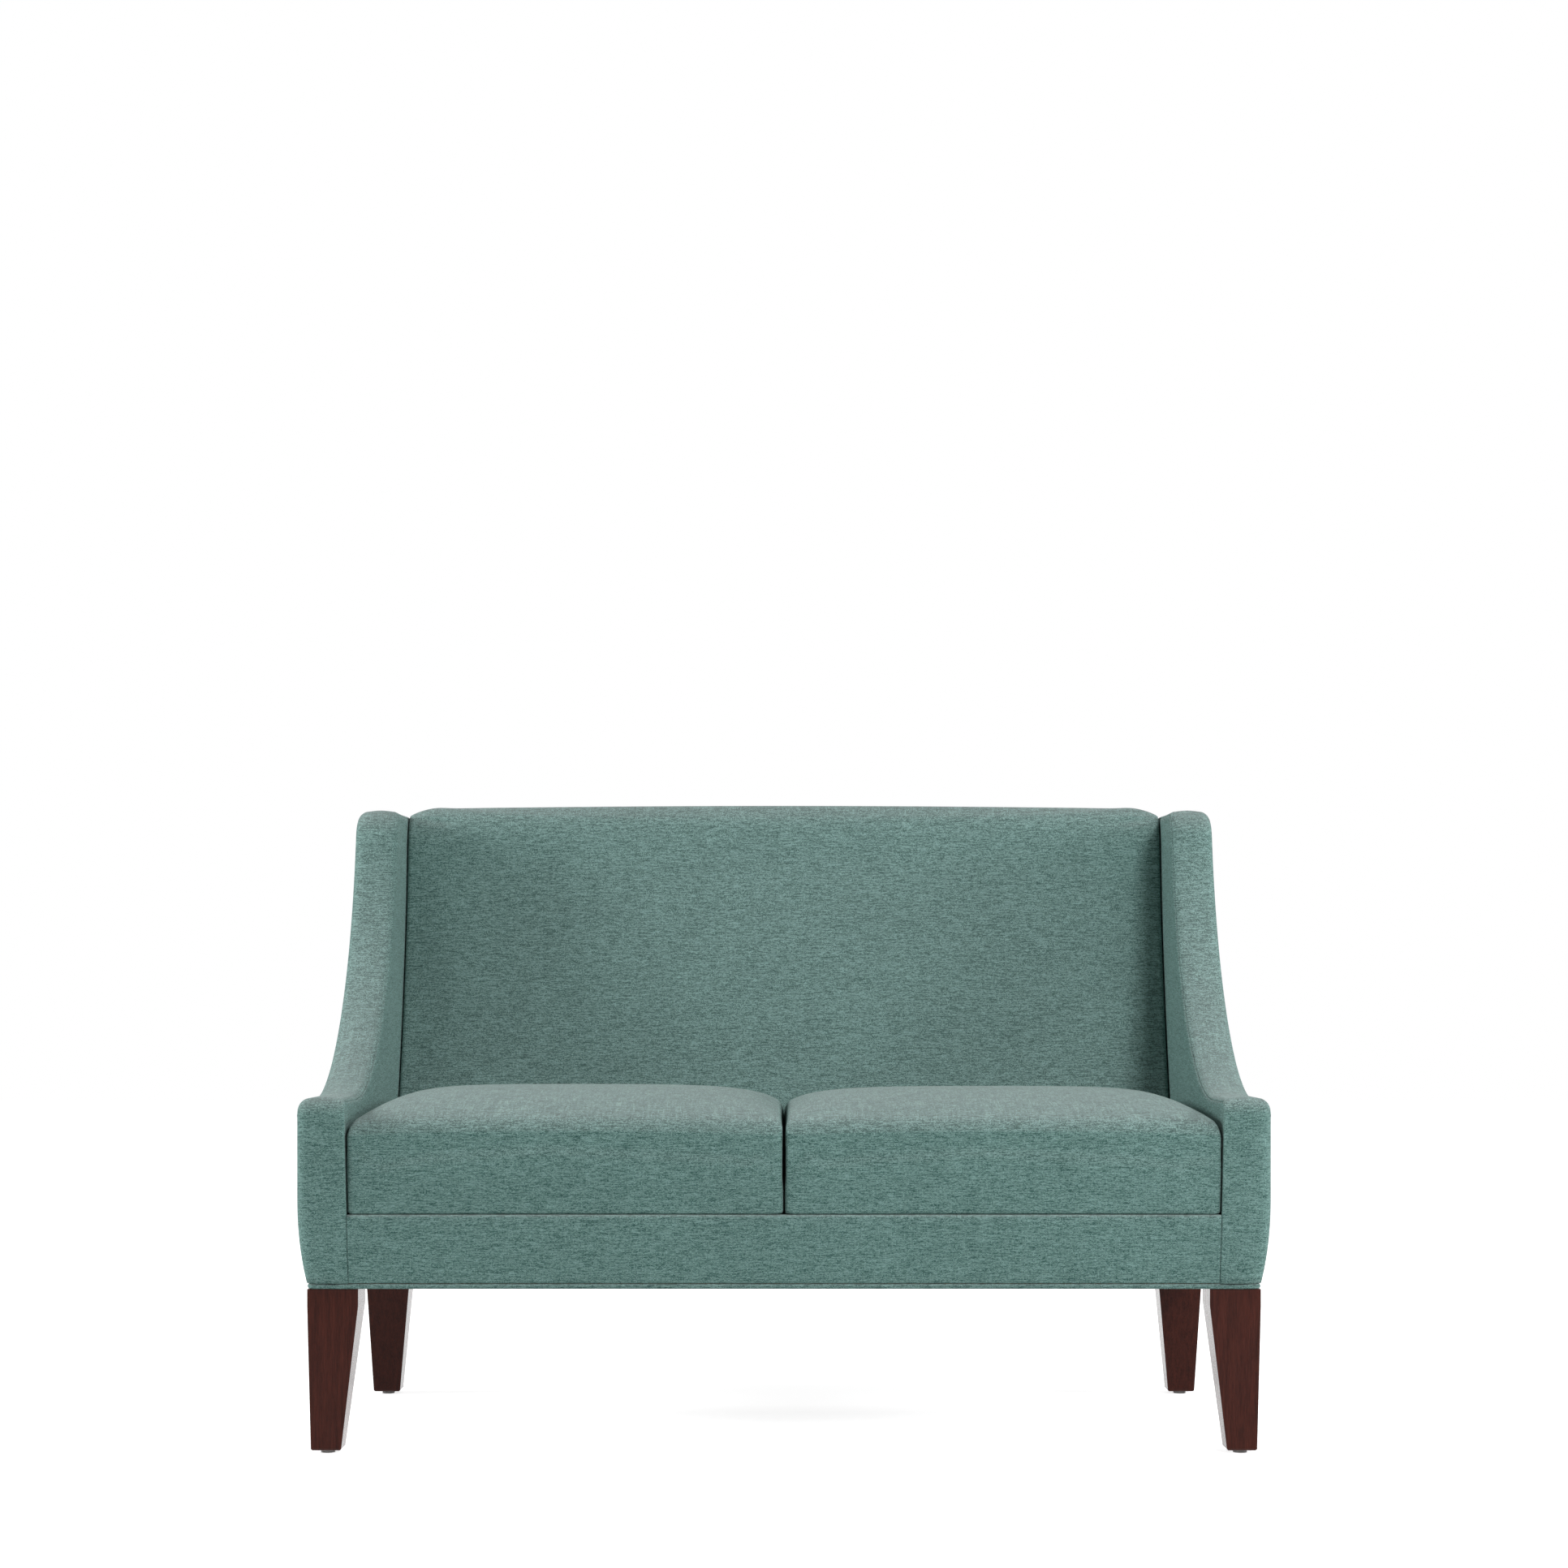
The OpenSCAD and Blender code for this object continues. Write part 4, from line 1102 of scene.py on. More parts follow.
        def outer(a: float) -> np.ndarray:
            """Returns a point of the outer round."""
            return np.array([width - outer_r * (1 - math.cos(a)), outer_r * (1 - math.sin(a))])

        along = np.array([math.sin(start), -math.cos(start)])
        inward = np.array([math.cos(start), math.sin(start)])
        band = self.seam.edge(inner(start), along, inward)
        reach = self.seam.radius / inner_r
        band += [inner(a) for a in np.linspace(start + reach, math.pi / 2, on_inner)[1:]]
        span = width - outer_r - inner_r
        band += [np.array([x, -self.crown * math.sin(math.pi * (x - inner_r) / span)])
                 for x in np.linspace(inner_r, width - outer_r, on_face)[1:]]
        band += [outer(a) for a in np.linspace(math.pi / 2, 0.0, on_outer)[1:]]
        seam_out = np.array([width, outer_r + self.outer_run])
        band += self.seam.edge(seam_out, np.array([0.0, -1.0]), np.array([-1.0, 0.0]))[::-1]
        inside = self.seam.edge(inner(start), -along, inward)
        inside += [inner(a) for a in np.linspace(start - reach, 0.0, on_inside)[1:]
                   if start > reach]
        inside += [np.array([0.0, inner_r + d]) for d in self.inside_rim]
        outside = self.seam.edge(seam_out, np.array([0.0, 1.0]), np.array([-1.0, 0.0]))
        outside += [np.array([width, seam_out[1] + d]) for d in self.outside_rim]
        return band, inside, outside

    def strips(self) -> tuple[np.ndarray, np.ndarray, np.ndarray]:
        """Returns the grids of the band and of the rims of the inside and outside covers."""
        line, outward, share = self.edge_line()
        grids: list[list] = [[], [], []]
        for point, way, kind in zip(line, outward, share):
            for grid, cut in zip(grids, self.section(kind)):
                grid.append([[self.body.arm_in + x, *(point - way * d)] for x, d in cut])
        length = [min(len(row) for row in grid) for grid in grids]
        return tuple(np.array([row[:n] for row in grid]) for grid, n in zip(grids, length))

    def side_shell(self, rim: np.ndarray, puff: float) -> Shell:
        """Closes a side's rim with an even fill of points.

        Args:
            rim: the rim's grid, its last column innermost.
            puff: how far the middle stands out from the rim, away from the settee's middle.

        Returns:
            The cover's shell, before it is settled.
        """
        shell = Shell()
        shell.add_grid(rim)
        ring = rim[:, -1]
        outline = ring[:, 1:]
        low, high = outline.min(axis=0), outline.max(axis=0)
        steps = [np.arange(a + self.fill_gap, b, self.fill_step) for a, b in zip(low, high)]
        inner = np.array([(y, z) for y in steps[0] for z in steps[1]])
        gap = np.linalg.norm(inner[:, None] - outline[None], axis=2)
        keep = self.inside(inner, outline) & (gap.min(axis=1) > self.fill_gap)
        spots = [Vector(p) for p in np.concatenate([outline, inner[keep]])]
        count = len(outline)
        edges = [(i, (i + 1) % count) for i in range(count)]
        made = delaunay_2d_cdt(spots, edges, [list(range(count))], 1, 1e-6)
        flat = np.array([tuple(v) for v in made[0]])
        rise = np.linalg.norm(flat[:, None] - outline[None], axis=2).min(axis=1)
        across = ring[0, 0] + puff * (1.0 - np.exp(-rise / self.puff_reach))
        first = shell.add_points(np.column_stack([across, flat]))
        shell.faces.extend([[first + i for i in face] for face in made[2]])
        return shell

    @staticmethod
    def inside(points: np.ndarray, outline: np.ndarray) -> np.ndarray:
        """Returns which points lie inside a closed outline."""
        x, y = points[:, 0][:, None], points[:, 1][:, None]
        a, b = outline, np.roll(outline, -1, axis=0)
        crosses = (a[:, 1] > y) != (b[:, 1] > y)
        rise = np.where(b[:, 1] == a[:, 1], 1e-9, b[:, 1] - a[:, 1])
        at = a[:, 0] + (y - a[:, 1]) * (b[:, 0] - a[:, 0]) / rise
        return (crosses & (x < at)).sum(axis=1) % 2 == 1

    def build(self) -> None:
        """Builds the arm's band and covers."""
        word, out = self.side.word, self.side.value
        strip, inside, outside = self.strips()
        band = Shell()
        band.add_grid(strip)
        pieces = (
            ("arm_band", band, (0.0, -1.0, 1.0), self.band_cut),
            ("inside_arm_cover", self.side_shell(inside, 0.0), (-out, 0.0, 0.0), self.side_cut),
            ("outside_arm_cover", self.side_shell(outside, self.puff), (out, 0.0, 0.0),
             self.side_cut))
        for name, shell, outward, cut in pieces:
            shell.points = self.settle(np.array(shell.points)).tolist()
            node = f"{name}_{word}"
            foam = (f"arm_foam_{word}",) if shell is band else ()
            sheet = CoverSheet(name=node + "_cloth", outward=outward, flat=cut,
                               rests_on=(f"arm_panel_{word}",), replaced=(node, *foam))
            sheet.lay(shell.on(self.side), self.finishes)


@dataclass
class BackPad:
    """The tight padded back with its rolled top.

    Its mesh stays held near the outside back and below a height (held_rear), between two
    distances from its ends (held_end) and between two heights at its foot (held_foot).
    """

    body: Body
    finishes: Finishes
    half_w: float = 593.6
    low_y: float = 506.0
    bend: tuple[float, float] = (665.0, 640.0)
    high: tuple[float, float] = (683.0, 872.0)
    crown: float = 18.0
    crown_from: float = 0.15
    crown_power: float = 2.5
    crest_drop: float = 5.0
    crest_shift: float = 4.0
    top: float = 927.0
    end_r: float = 7.0
    top_fall: float = 14.0
    top_fall_w: float = 55.0
    fall_power: float = 2.2
    roll_from: float = 846.0
    roll_pull: float = 0.62
    rear_inset: float = 30.0
    rear_step: float = 6.0
    front_samples: int = 401
    front_steps: int = 56
    roll_steps: int = 30
    rear_steps: int = 12
    end_rings: tuple[int, int] = (7, 8)
    middle_rings: int = 90
    held_rear: tuple[float, float] = (34.0, 905.0)
    held_end: tuple[float, float] = (26.0, 2.0)
    held_foot: tuple[float, float] = (372.0, 334.0)
    inflation: Inflation = field(default_factory=lambda: Inflation(1.5, 3.0))

    def front_y(self, x: float) -> Callable[[float], np.ndarray]:
        """Returns the pad's front at x as a function of a share from its foot to its top."""
        crown = self.crown * (1.0 - (abs(x) / self.half_w) ** self.crown_power)
        foot = np.array([self.low_y, self.body.seat_z])
        bend, high = np.array(self.bend), np.array(self.high)

        def at(t: float) -> np.ndarray:
            """Returns depth and height at a share of the front."""
            place = (1 - t) ** 2 * foot + 2 * (1 - t) * t * bend + t * t * high
            bulge = math.sin(math.pi * max(0.0, (t - self.crown_from) / (1.0 - self.crown_from)))
            return place - (crown * bulge, 0.0)

        return at

    def profile(self, x: float) -> np.ndarray:
        """Returns the pad's outline in depth and height at x, from its front's foot over the roll.

        The front follows a bent line with a crown. The roll leaves it smoothly and turns over
        the crest to the outside back.
        """
        gap = self.half_w - abs(x)
        near = max(0.0, 1.0 - gap / self.end_r)
        pull = self.end_r * (1.0 - math.sqrt(1.0 - near * near))
        fall = self.top_fall * max(0.0, 1.0 - gap / self.top_fall_w) ** self.fall_power
        rear = float(self.body.outside_y(self.high[1]))
        at = self.front_y(x)
        shares = np.linspace(0.0, 1.0, self.front_samples)
        run = np.array([at(float(t)) for t in shares])
        stop = float(np.interp(self.roll_from, run[:, 1], shares))
        made = [at(stop * k / self.front_steps) + (pull, 0.0) for k in range(self.front_steps + 1)]
        start, way = made[-1], made[-1] - made[-2]
        way /= np.linalg.norm(way)
        top = self.top - self.crest_drop * (x / self.half_w) ** 2 - fall
        crest = np.array([(rear + start[0]) / 2.0 + self.crest_shift, top])
        pull_a = start + way * (top - start[1]) * self.roll_pull
        pull_b = crest - ((crest[0] - start[0]) * self.roll_pull, 0.0)
        made += [cubic(k / self.roll_steps, start, pull_a, pull_b, crest)
                 for k in range(1, self.roll_steps + 1)]
        low = np.array([rear, self.high[1]])
        for k in range(1, self.rear_steps + 1):
            a = math.pi / 2.0 * k / self.rear_steps
            made.append(np.array([crest[0] + (low[0] - crest[0]) * math.sin(a),
                                  low[1] + (crest[1] - low[1]) * math.cos(a)]))
        count = self.front_steps + self.roll_steps - self.rear_steps
        for k in range(count, 0, -1):
            z = self.body.seat_z + (self.high[1] - self.body.seat_z) * (k - 1) / count
            y = min(float(self.body.outside_y(z)) - self.rear_inset, rear - self.rear_step)
            made.append(np.array([y, z]))
        return np.array(made)

    def build(self) -> None:
        """Builds the pad, swells it and dresses it."""
        on_round, on_fall = self.end_rings
        turns = np.radians(np.linspace(90, 0, on_round))
        ends = np.concatenate([
            self.half_w - self.end_r * (1.0 - np.sin(turns)),
            self.half_w - np.linspace(self.end_r, self.top_fall_w, on_fall)[1:]])
        limit = self.half_w - self.top_fall_w
        middle = np.linspace(limit, -limit, self.middle_rings)[1:-1]
        places = np.concatenate([ends, middle, -ends[::-1]])
        rings = np.array([[(x, *p) for p in self.profile(float(x))] for x in places])
        shell = Shell()
        count = rings.shape[1]
        first = shell.add_grid(rings, round_second=True)
        for start, flip in ((first, False), (first + (len(places) - 1) * count, True)):
            for k in range(count // 2):
                face = [start + k, start + k + 1, start + count - 2 - k, start + count - 1 - k]
                face = list(dict.fromkeys(face))
                shell.faces.append(face[::-1] if flip else face)
        piece = shell.piece("back_pad")
        self.inflation.run(piece, self.held(shaped_points(piece)))
        reshape_points(piece, self.keep_clear)
        refine(piece)
        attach(piece, "frame")
        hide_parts("back_cover", "back_foam")
        self.finishes.cover(piece, Slot.UPHOLSTERY)

    def held(self, points: np.ndarray) -> np.ndarray:
        """Returns how firmly each point stays: at the rear, at both ends and at the foot."""
        x, y, z = points.T
        behind, below = self.held_rear
        rear = (y > self.body.outside_y(z) - behind) & (z < below)
        from_end, to_end = (self.half_w - gap for gap in self.held_end)
        from_foot, to_foot = self.held_foot
        return np.clip(np.where(rear, 1.0, 0.0) + smooth_step(np.abs(x), from_end, to_end)
                       + smooth_step(-z, -from_foot, -to_foot), 0.0, 1.0)

    def keep_clear(self, points: np.ndarray) -> np.ndarray:
        """Keeps the pad between the wings and before the outside back."""
        made = points.copy()
        made[:, 0] = np.clip(made[:, 0], -self.half_w, self.half_w)
        rear = self.body.outside_y(np.minimum(made[:, 2], self.high[1]))
        made[:, 1] = np.minimum(made[:, 1], rear)
        return made


@dataclass(frozen=True)
class EdgeRise:
    """How the cushion's rounding and its crown rise inward from one of its sides.

    Each has its share at the side itself and the distance over which it rises.
    """

    round_start: float
    round_reach: float
    crown_start: float
    crown_reach: float

    def shares(self, gap: np.ndarray) -> tuple[np.ndarray, np.ndarray]:
        """Returns the rounding's and the crown's share at a distance from the side."""
        gap = np.maximum(gap, 0.0)
        return tuple(start + (1.0 - start) * (1.0 - np.exp(-gap / reach)) for start, reach in (
            (self.round_start, self.round_reach), (self.crown_start, self.crown_reach)))


@dataclass
class SeatCushion:
    """One loose seat cushion: boxy sides, rounded edges and a crowned top.

    Its mesh stays held at its foot (held_low) and at its rear (held_rear, before and behind the
    rear's foot) up to a height (held_below).
    """

    body: Body
    side: Side
    finishes: Finishes
    in_x: float = 0.95
    out_x: float = 594.3
    front_y: float = 2.0
    rear_low: float = 503.0
    rear_rake: float = 23.0
    rear_stop: float = 453.0
    corner_r: float = 9.0
    corner_growth: float = 0.45
    foot_r: float = 4.0
    wall_z: float = 424.5
    round_h: float = 27.0
    crown: float = 39.2
    unevenness: float = 1.6
    draw: float = 1.6
    draw_power: int = 6
    lean_reach: float = 25.0
    columns: int = 66
    rows: int = 58
    crowding: float = 0.09
    foot_turns: tuple[float, ...] = (0.0, 30.0, 60.0, 90.0)
    wall_rings: int = 15
    insets: tuple[float, ...] = (0.0, 0.5, 1.2, 2.2, 3.6, 5.4, 7.6, 10.5, 14.0, 18.5, 24.0)
    from_arm: EdgeRise = EdgeRise(0.07, 4.0, 0.0, 43.0)
    from_middle: EdgeRise = EdgeRise(0.6, 2.5, 0.35, 52.0)
    from_front: EdgeRise = EdgeRise(0.25, 6.0, 0.0, 100.0)
    from_rear: EdgeRise = EdgeRise(0.6, 8.0, 0.2, 60.0)
    held_low: tuple[float, float] = (334.0, 372.0)
    held_rear: tuple[float, float] = (40.0, 4.0)
    held_below: tuple[float, float] = (440.0, 470.0)
    slack: float = 0.1
    inflation: Inflation = field(default_factory=lambda: Inflation(2.0, 1.4))

    def rear_y(self, z: np.ndarray) -> np.ndarray:
        """Returns the depth of the cushion's leaning rear side at height z."""
        rise = np.minimum(z, self.rear_stop) - self.body.seat_z
        return self.rear_low + rise * math.tan(math.radians(self.rear_rake))

    def spread(self, count: int) -> np.ndarray:
        """Returns shares from 0 to 1, closer together near both ends."""
        t = np.linspace(0.0, 1.0, count + 1)
        return t - self.crowding * np.sin(2.0 * math.pi * t)

    def footprint(self, u: np.ndarray, v: np.ndarray, rear: float, inset: float) -> np.ndarray:
        """Returns the places of a level of the cushion, with rounded corners and drawn sides.

        Args:
            u: shares across, from the settee's middle to the arm.
            v: shares in depth, from the front.
            rear: depth of the level's rear side.
            inset: how far the level lies inside the cushion's widest outline.
        """
        low = np.array([self.in_x + inset, self.front_y + inset])
        high = np.array([self.out_x - inset, rear - inset])
        centre, half = (low + high) / 2.0, (high - low) / 2.0
        place = np.stack([2.0 * u - 1.0, 2.0 * v - 1.0], axis=-1) * half
        r = self.corner_r + self.corner_growth * inset
        beyond = np.maximum(np.abs(place) - (half - r), 0.0)
        norm = np.maximum(np.linalg.norm(beyond, axis=-1, keepdims=True), 1e-9)
        place -= np.sign(place) * beyond * (1.0 - beyond.max(axis=-1, keepdims=True) / norm)
        near = (np.abs(place) / half) ** self.draw_power
        slack = 1.0 - (place[..., ::-1] / half[::-1]) ** 2
        return centre + place - np.sign(place) * near * self.draw * np.clip(slack, 0.0, 1.0)

    def top_z(self, place: np.ndarray) -> np.ndarray:
        """Returns the height of the top at places across and in depth."""
        x, y = place[..., 0], place[..., 1]
        turn, lift = 1.0, 1.0
        for rise, gap in ((self.from_arm, self.out_x - x), (self.from_middle, x - self.in_x),
                          (self.from_front, y - self.front_y),
                          (self.from_rear, self.rear_y(self.rear_stop) - y)):
            shares = rise.shares(gap)
            turn, lift = turn * shares[0], lift * shares[1]
        crown = self.crown - self.side.value * self.unevenness
        return self.wall_z + self.round_h * turn + crown * lift

    def on_top(self, place: np.ndarray) -> np.ndarray:
        """Lays places on the top, and keeps low ones at the rear on the leaning rear side."""
        z = self.top_z(place)
        rear = float(self.rear_y(self.rear_stop))
        middle = (self.rear_low + self.front_y) / 2.0
        share = np.clip((place[..., 1] - middle) / (rear - middle), 0.0, 1.0)
        rake = math.tan(math.radians(self.rear_rake))
        lean = np.maximum(self.rear_stop - z, 0.0) * rake * share
        return np.stack([place[..., 0], place[..., 1] - lean, z], axis=-1)

    def shell(self) -> Shell:
        """Returns the cushion's shell, built for the right."""
        u, v = self.spread(self.columns), self.spread(self.rows)
        around = np.array([(a, 0.0) for a in u[:-1]] + [(1.0, b) for b in v[:-1]]
                          + [(a, 1.0) for a in u[::-1][:-1]] + [(0.0, b) for b in v[::-1][:-1]])
        ring = around[:, 0], around[:, 1]
        grid = np.meshgrid(u, v, indexing="ij")
        foot, rear = self.body.seat_z, float(self.rear_y(self.rear_stop))
        levels = [(foot + self.foot_r * (1.0 - math.cos(a)), self.foot_r * (1.0 - math.sin(a)))
                  for a in np.radians(self.foot_turns)]
        levels += [(z, 0.0)
                   for z in np.linspace(foot + self.foot_r, self.wall_z, self.wall_rings)[1:]]

        def level(places: tuple, z: float, inset: float) -> np.ndarray:
            """Returns the points of a level of even height."""
            flat = self.footprint(*places, float(self.rear_y(z)), inset)
            return np.concatenate([flat, np.full(flat.shape[:-1] + (1,), z)], axis=-1)

        rings = [level(ring, z, inset) for z, inset in levels]
        rings += [self.on_top(self.footprint(*ring, rear, inset)) for inset in self.insets]
        shell = Shell()
        shell.add_grid(np.array(rings), round_second=True)
        shell.add_grid(level(grid, *levels[0]))
        shell.add_grid(self.on_top(self.footprint(*grid, rear, self.insets[-1])))
        points = np.array(shell.points)
        near_arm = np.exp(-np.maximum(self.out_x - points[:, 0], 0.0) / self.lean_reach)
        points[:, 0] -= self.body.lean_at(points[:, 1] - self.front_y, points[:, 2]) * near_arm
        shell.points = points.tolist()
        return shell

    def build(self) -> None:
        """Builds the cushion, swells it and dresses it."""
        piece = self.shell().on(self.side).piece(f"seat_cushion_{self.side.word}")
        self.inflation.run(piece, self.held(shaped_points(piece)))
        reshape_points(piece, self.keep_clear)
        refine(piece)
        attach(piece, f"cushion_{self.side.word}")
        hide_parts(f"seat_cover_{self.side.word}", f"seat_foam_{self.side.word}")
        self.finishes.cover(piece, Slot.UPHOLSTERY)

    def held(self, points: np.ndarray) -> np.ndarray:
        """Returns how firmly each point stays: at the foot, and low at the rear."""
        _, y, z = points.T
        before, behind = self.held_rear
        rear = smooth_step(y, self.rear_low - before, self.rear_low + behind)
        low = 1.0 - smooth_step(z, *self.held_low)
        return np.clip(low + rear * (1.0 - smooth_step(z, *self.held_below)), 0.0, 1.0)

    def keep_clear(self, points: np.ndarray) -> np.ndarray:
        """Keeps the cushion between its neighbours and on the deck."""
        made = points.copy()
        sign = self.side.value
        lean = self.body.lean_at(points[:, 1] - self.front_y, points[:, 2])
        made[:, 0] = sign * np.clip(sign * made[:, 0], self.in_x - self.slack,
                                    self.out_x + self.slack - lean)
        made[:, 1] = np.maximum(made[:, 1], 0.0)
        made[:, 2] = np.maximum(made[:, 2], self.body.seat_z)
        return made


@dataclass
class FrontRail:
    """The cover of the front rail, which turns back under the cushions.

    Counts are the points up its face, round its top edge and back under the cushions.
    """

    body: Body
    finishes: Finishes
    top_r: float = 4.5
    top_gap: float = 0.3
    top_sink: float = 1.5
    level_within: float = 0.01
    back_y: float = 36.0
    puff: float = 0.8
    puff_power: int = 16
    foot: tuple = ((4.0, 0.0), (1.3, 0.3), (0.3, 1.5))
    face_from: float = 3.0
    counts: tuple[int, int, int] = (12, 7, 7)
    columns: int = 60
    cut: tuple[float, float] = (1.2, 0.14)
    ends: SoftEdge = SoftEdge((0.0, 0.0, 0.25, 0.8, 1.6, 3.0, 8.0),
                              (5.0, 1.3, 0.5, 0.1, 0.0, 0.0, 0.0))

    def build(self) -> None:
        """Builds the rail's cover."""
        low, high, r = self.body.cloth_z, self.body.seat_z - self.top_gap, self.top_r
        half_w = self.body.arm_in
        on_face, on_turn, on_top = self.counts
        run = [(y, low + rise) for y, rise in self.foot]
        run += [(0.0, z) for z in np.linspace(low + self.face_from, high - r, on_face)]
        run += [(r * (1.0 - math.cos(a)), high - r + r * math.sin(a))
                for a in np.radians(np.linspace(0.0, 90.0, on_turn)[1:])]
        run += [(y, high) for y in np.linspace(r, self.back_y, on_top)[1:]]
        last = self.ends.places[-1]
        inner = np.linspace(last, 2.0 * half_w - last, self.columns)[1:-1]
        x, sink = self.ends.run(0.0, 2.0 * half_w, inner)
        x = x - half_w
        still = np.zeros_like(sink)
        rows = []
        for y, z in run:
            end = half_w - float(self.body.lean_at(0.0, z))
            swell = self.puff * math.sin(math.pi * (z - low) / (high - low)) if y < r else 0.0
            swell = swell * (1.0 - (x / half_w) ** self.puff_power)
            on_level = z > high - self.level_within
            back = still if on_level else sink
            down = np.minimum(sink, self.top_sink) if on_level else still
            rows.append(np.column_stack([x * end / half_w, y + back - swell, z - down]))
        shell = Shell()
        shell.add_grid(np.array(rows))
        sheet = CoverSheet(name="front_rail_cloth", outward=(0.0, -1.0, 0.6), flat=self.cut,
                           rests_on=("front_rail",),
                           replaced=("front_rail_cover", "front_rail_padding"))
        sheet.lay(shell, self.finishes)


@dataclass
class SeatDeck:
    """The decking felt under the cushions, drawn tight over the webbing."""

    finishes: Finishes
    half_w: float = 594.6
    front_y: float = 36.4
    rear_y: float = 618.4
    top: float = 323.7
    thickness: float = 3.3
    pitch: float = 118.0
    dip: float = 0.3
    dip_reach: float = 30.0
    inner: float = 24.0
    columns: int = 90
    rows: int = 44
    cut: tuple[float, float] = (1.19, 0.585)
    edge: SoftEdge = SoftEdge((0.0, 0.3, 1.0, 2.2, 5.0, 12.0), (0.9, 0.45, 0.15, 0.0, 0.0, 0.0))

    def build(self) -> None:
        """Builds the felt, with a slight dip between the straps and softened edges."""
        front, rear = self.front_y, self.rear_y
        across = np.linspace(self.inner - self.half_w, self.half_w - self.inner, self.columns)
        along = np.linspace(front + self.inner, rear - self.inner, self.rows)
        x, x_sink = self.edge.run(-self.half_w, self.half_w, across)
        y, y_sink = self.edge.run(front, rear, along)
        x, y = np.meshgrid(x, y, indexing="ij")
        near = np.minimum(self.half_w - np.abs(x), np.minimum(y - front, rear - y))
        wave = np.sin(math.pi * x / self.pitch) ** 2 * np.sin(math.pi * y / self.pitch) ** 2
        dip = self.dip * wave * (1.0 - np.exp(-near / self.dip_reach))
        z = self.top - np.maximum(x_sink[:, None], y_sink[None]) - dip
        shell = Shell()
        shell.add_grid(np.stack([x, y, z], axis=-1))
        sheet = CoverSheet(name="seat_deck_felt", outward=(0.0, 0.0, 1.0), flat=self.cut,
                           rests_on=("seat_webbing_long", "seat_webbing_cross"),
                           replaced=("seat_deck",), thickness=self.thickness, slot=Slot.LINING)
        sheet.lay(shell, self.finishes)


@dataclass
class OutsideBack:
    """The cover of the outside back."""

    body: Body
    finishes: Finishes
    top: float = 872.4
    puff: float = 1.2
    puff_reach: float = 40.0
    draw_in: float = 0.4
    inner: float = 28.0
    columns: int = 52
    rows: int = 34
    cut: tuple[float, float] = (1.21, 0.67)
    edge: SoftEdge = SoftEdge((0.0, 0.0, 0.2, 0.8, 1.6, 3.5, 8.0, 16.0),
                              (6.0, 1.6, 0.8, 0.2, 0.0, 0.0, 0.0, 0.0))

    def build(self) -> None:
        """Builds the outside back's cover."""
        half_w, low = self.body.arm_in, self.body.cloth_z
        across = np.linspace(self.inner - half_w, half_w - self.inner, self.columns)
        upward = np.linspace(low + self.inner, self.top - self.inner, self.rows)
        x, x_sink = self.edge.run(-half_w, half_w, across)
        z, z_sink = self.edge.run(low, self.top, upward)
        x, z = np.meshgrid(x, z, indexing="ij")
        in_by = np.minimum(x_sink[:, None] + z_sink[None], self.edge.sinks[0])
        near = np.minimum(half_w - np.abs(x), np.minimum(z - low, self.top - z))
        swell = self.puff * (1.0 - np.exp(-near / self.puff_reach))
        depth = self.body.outside_y(z) - self.draw_in + swell - in_by
        shell = Shell()
        shell.add_grid(np.stack([x, depth, z], axis=-1))
        sheet = CoverSheet(name="outside_back_cloth", outward=(0.0, 1.0, 0.0), flat=self.cut,
                           rests_on=("outside_back_board",), replaced=("outside_back_cover",))
        sheet.lay(shell, self.finishes)


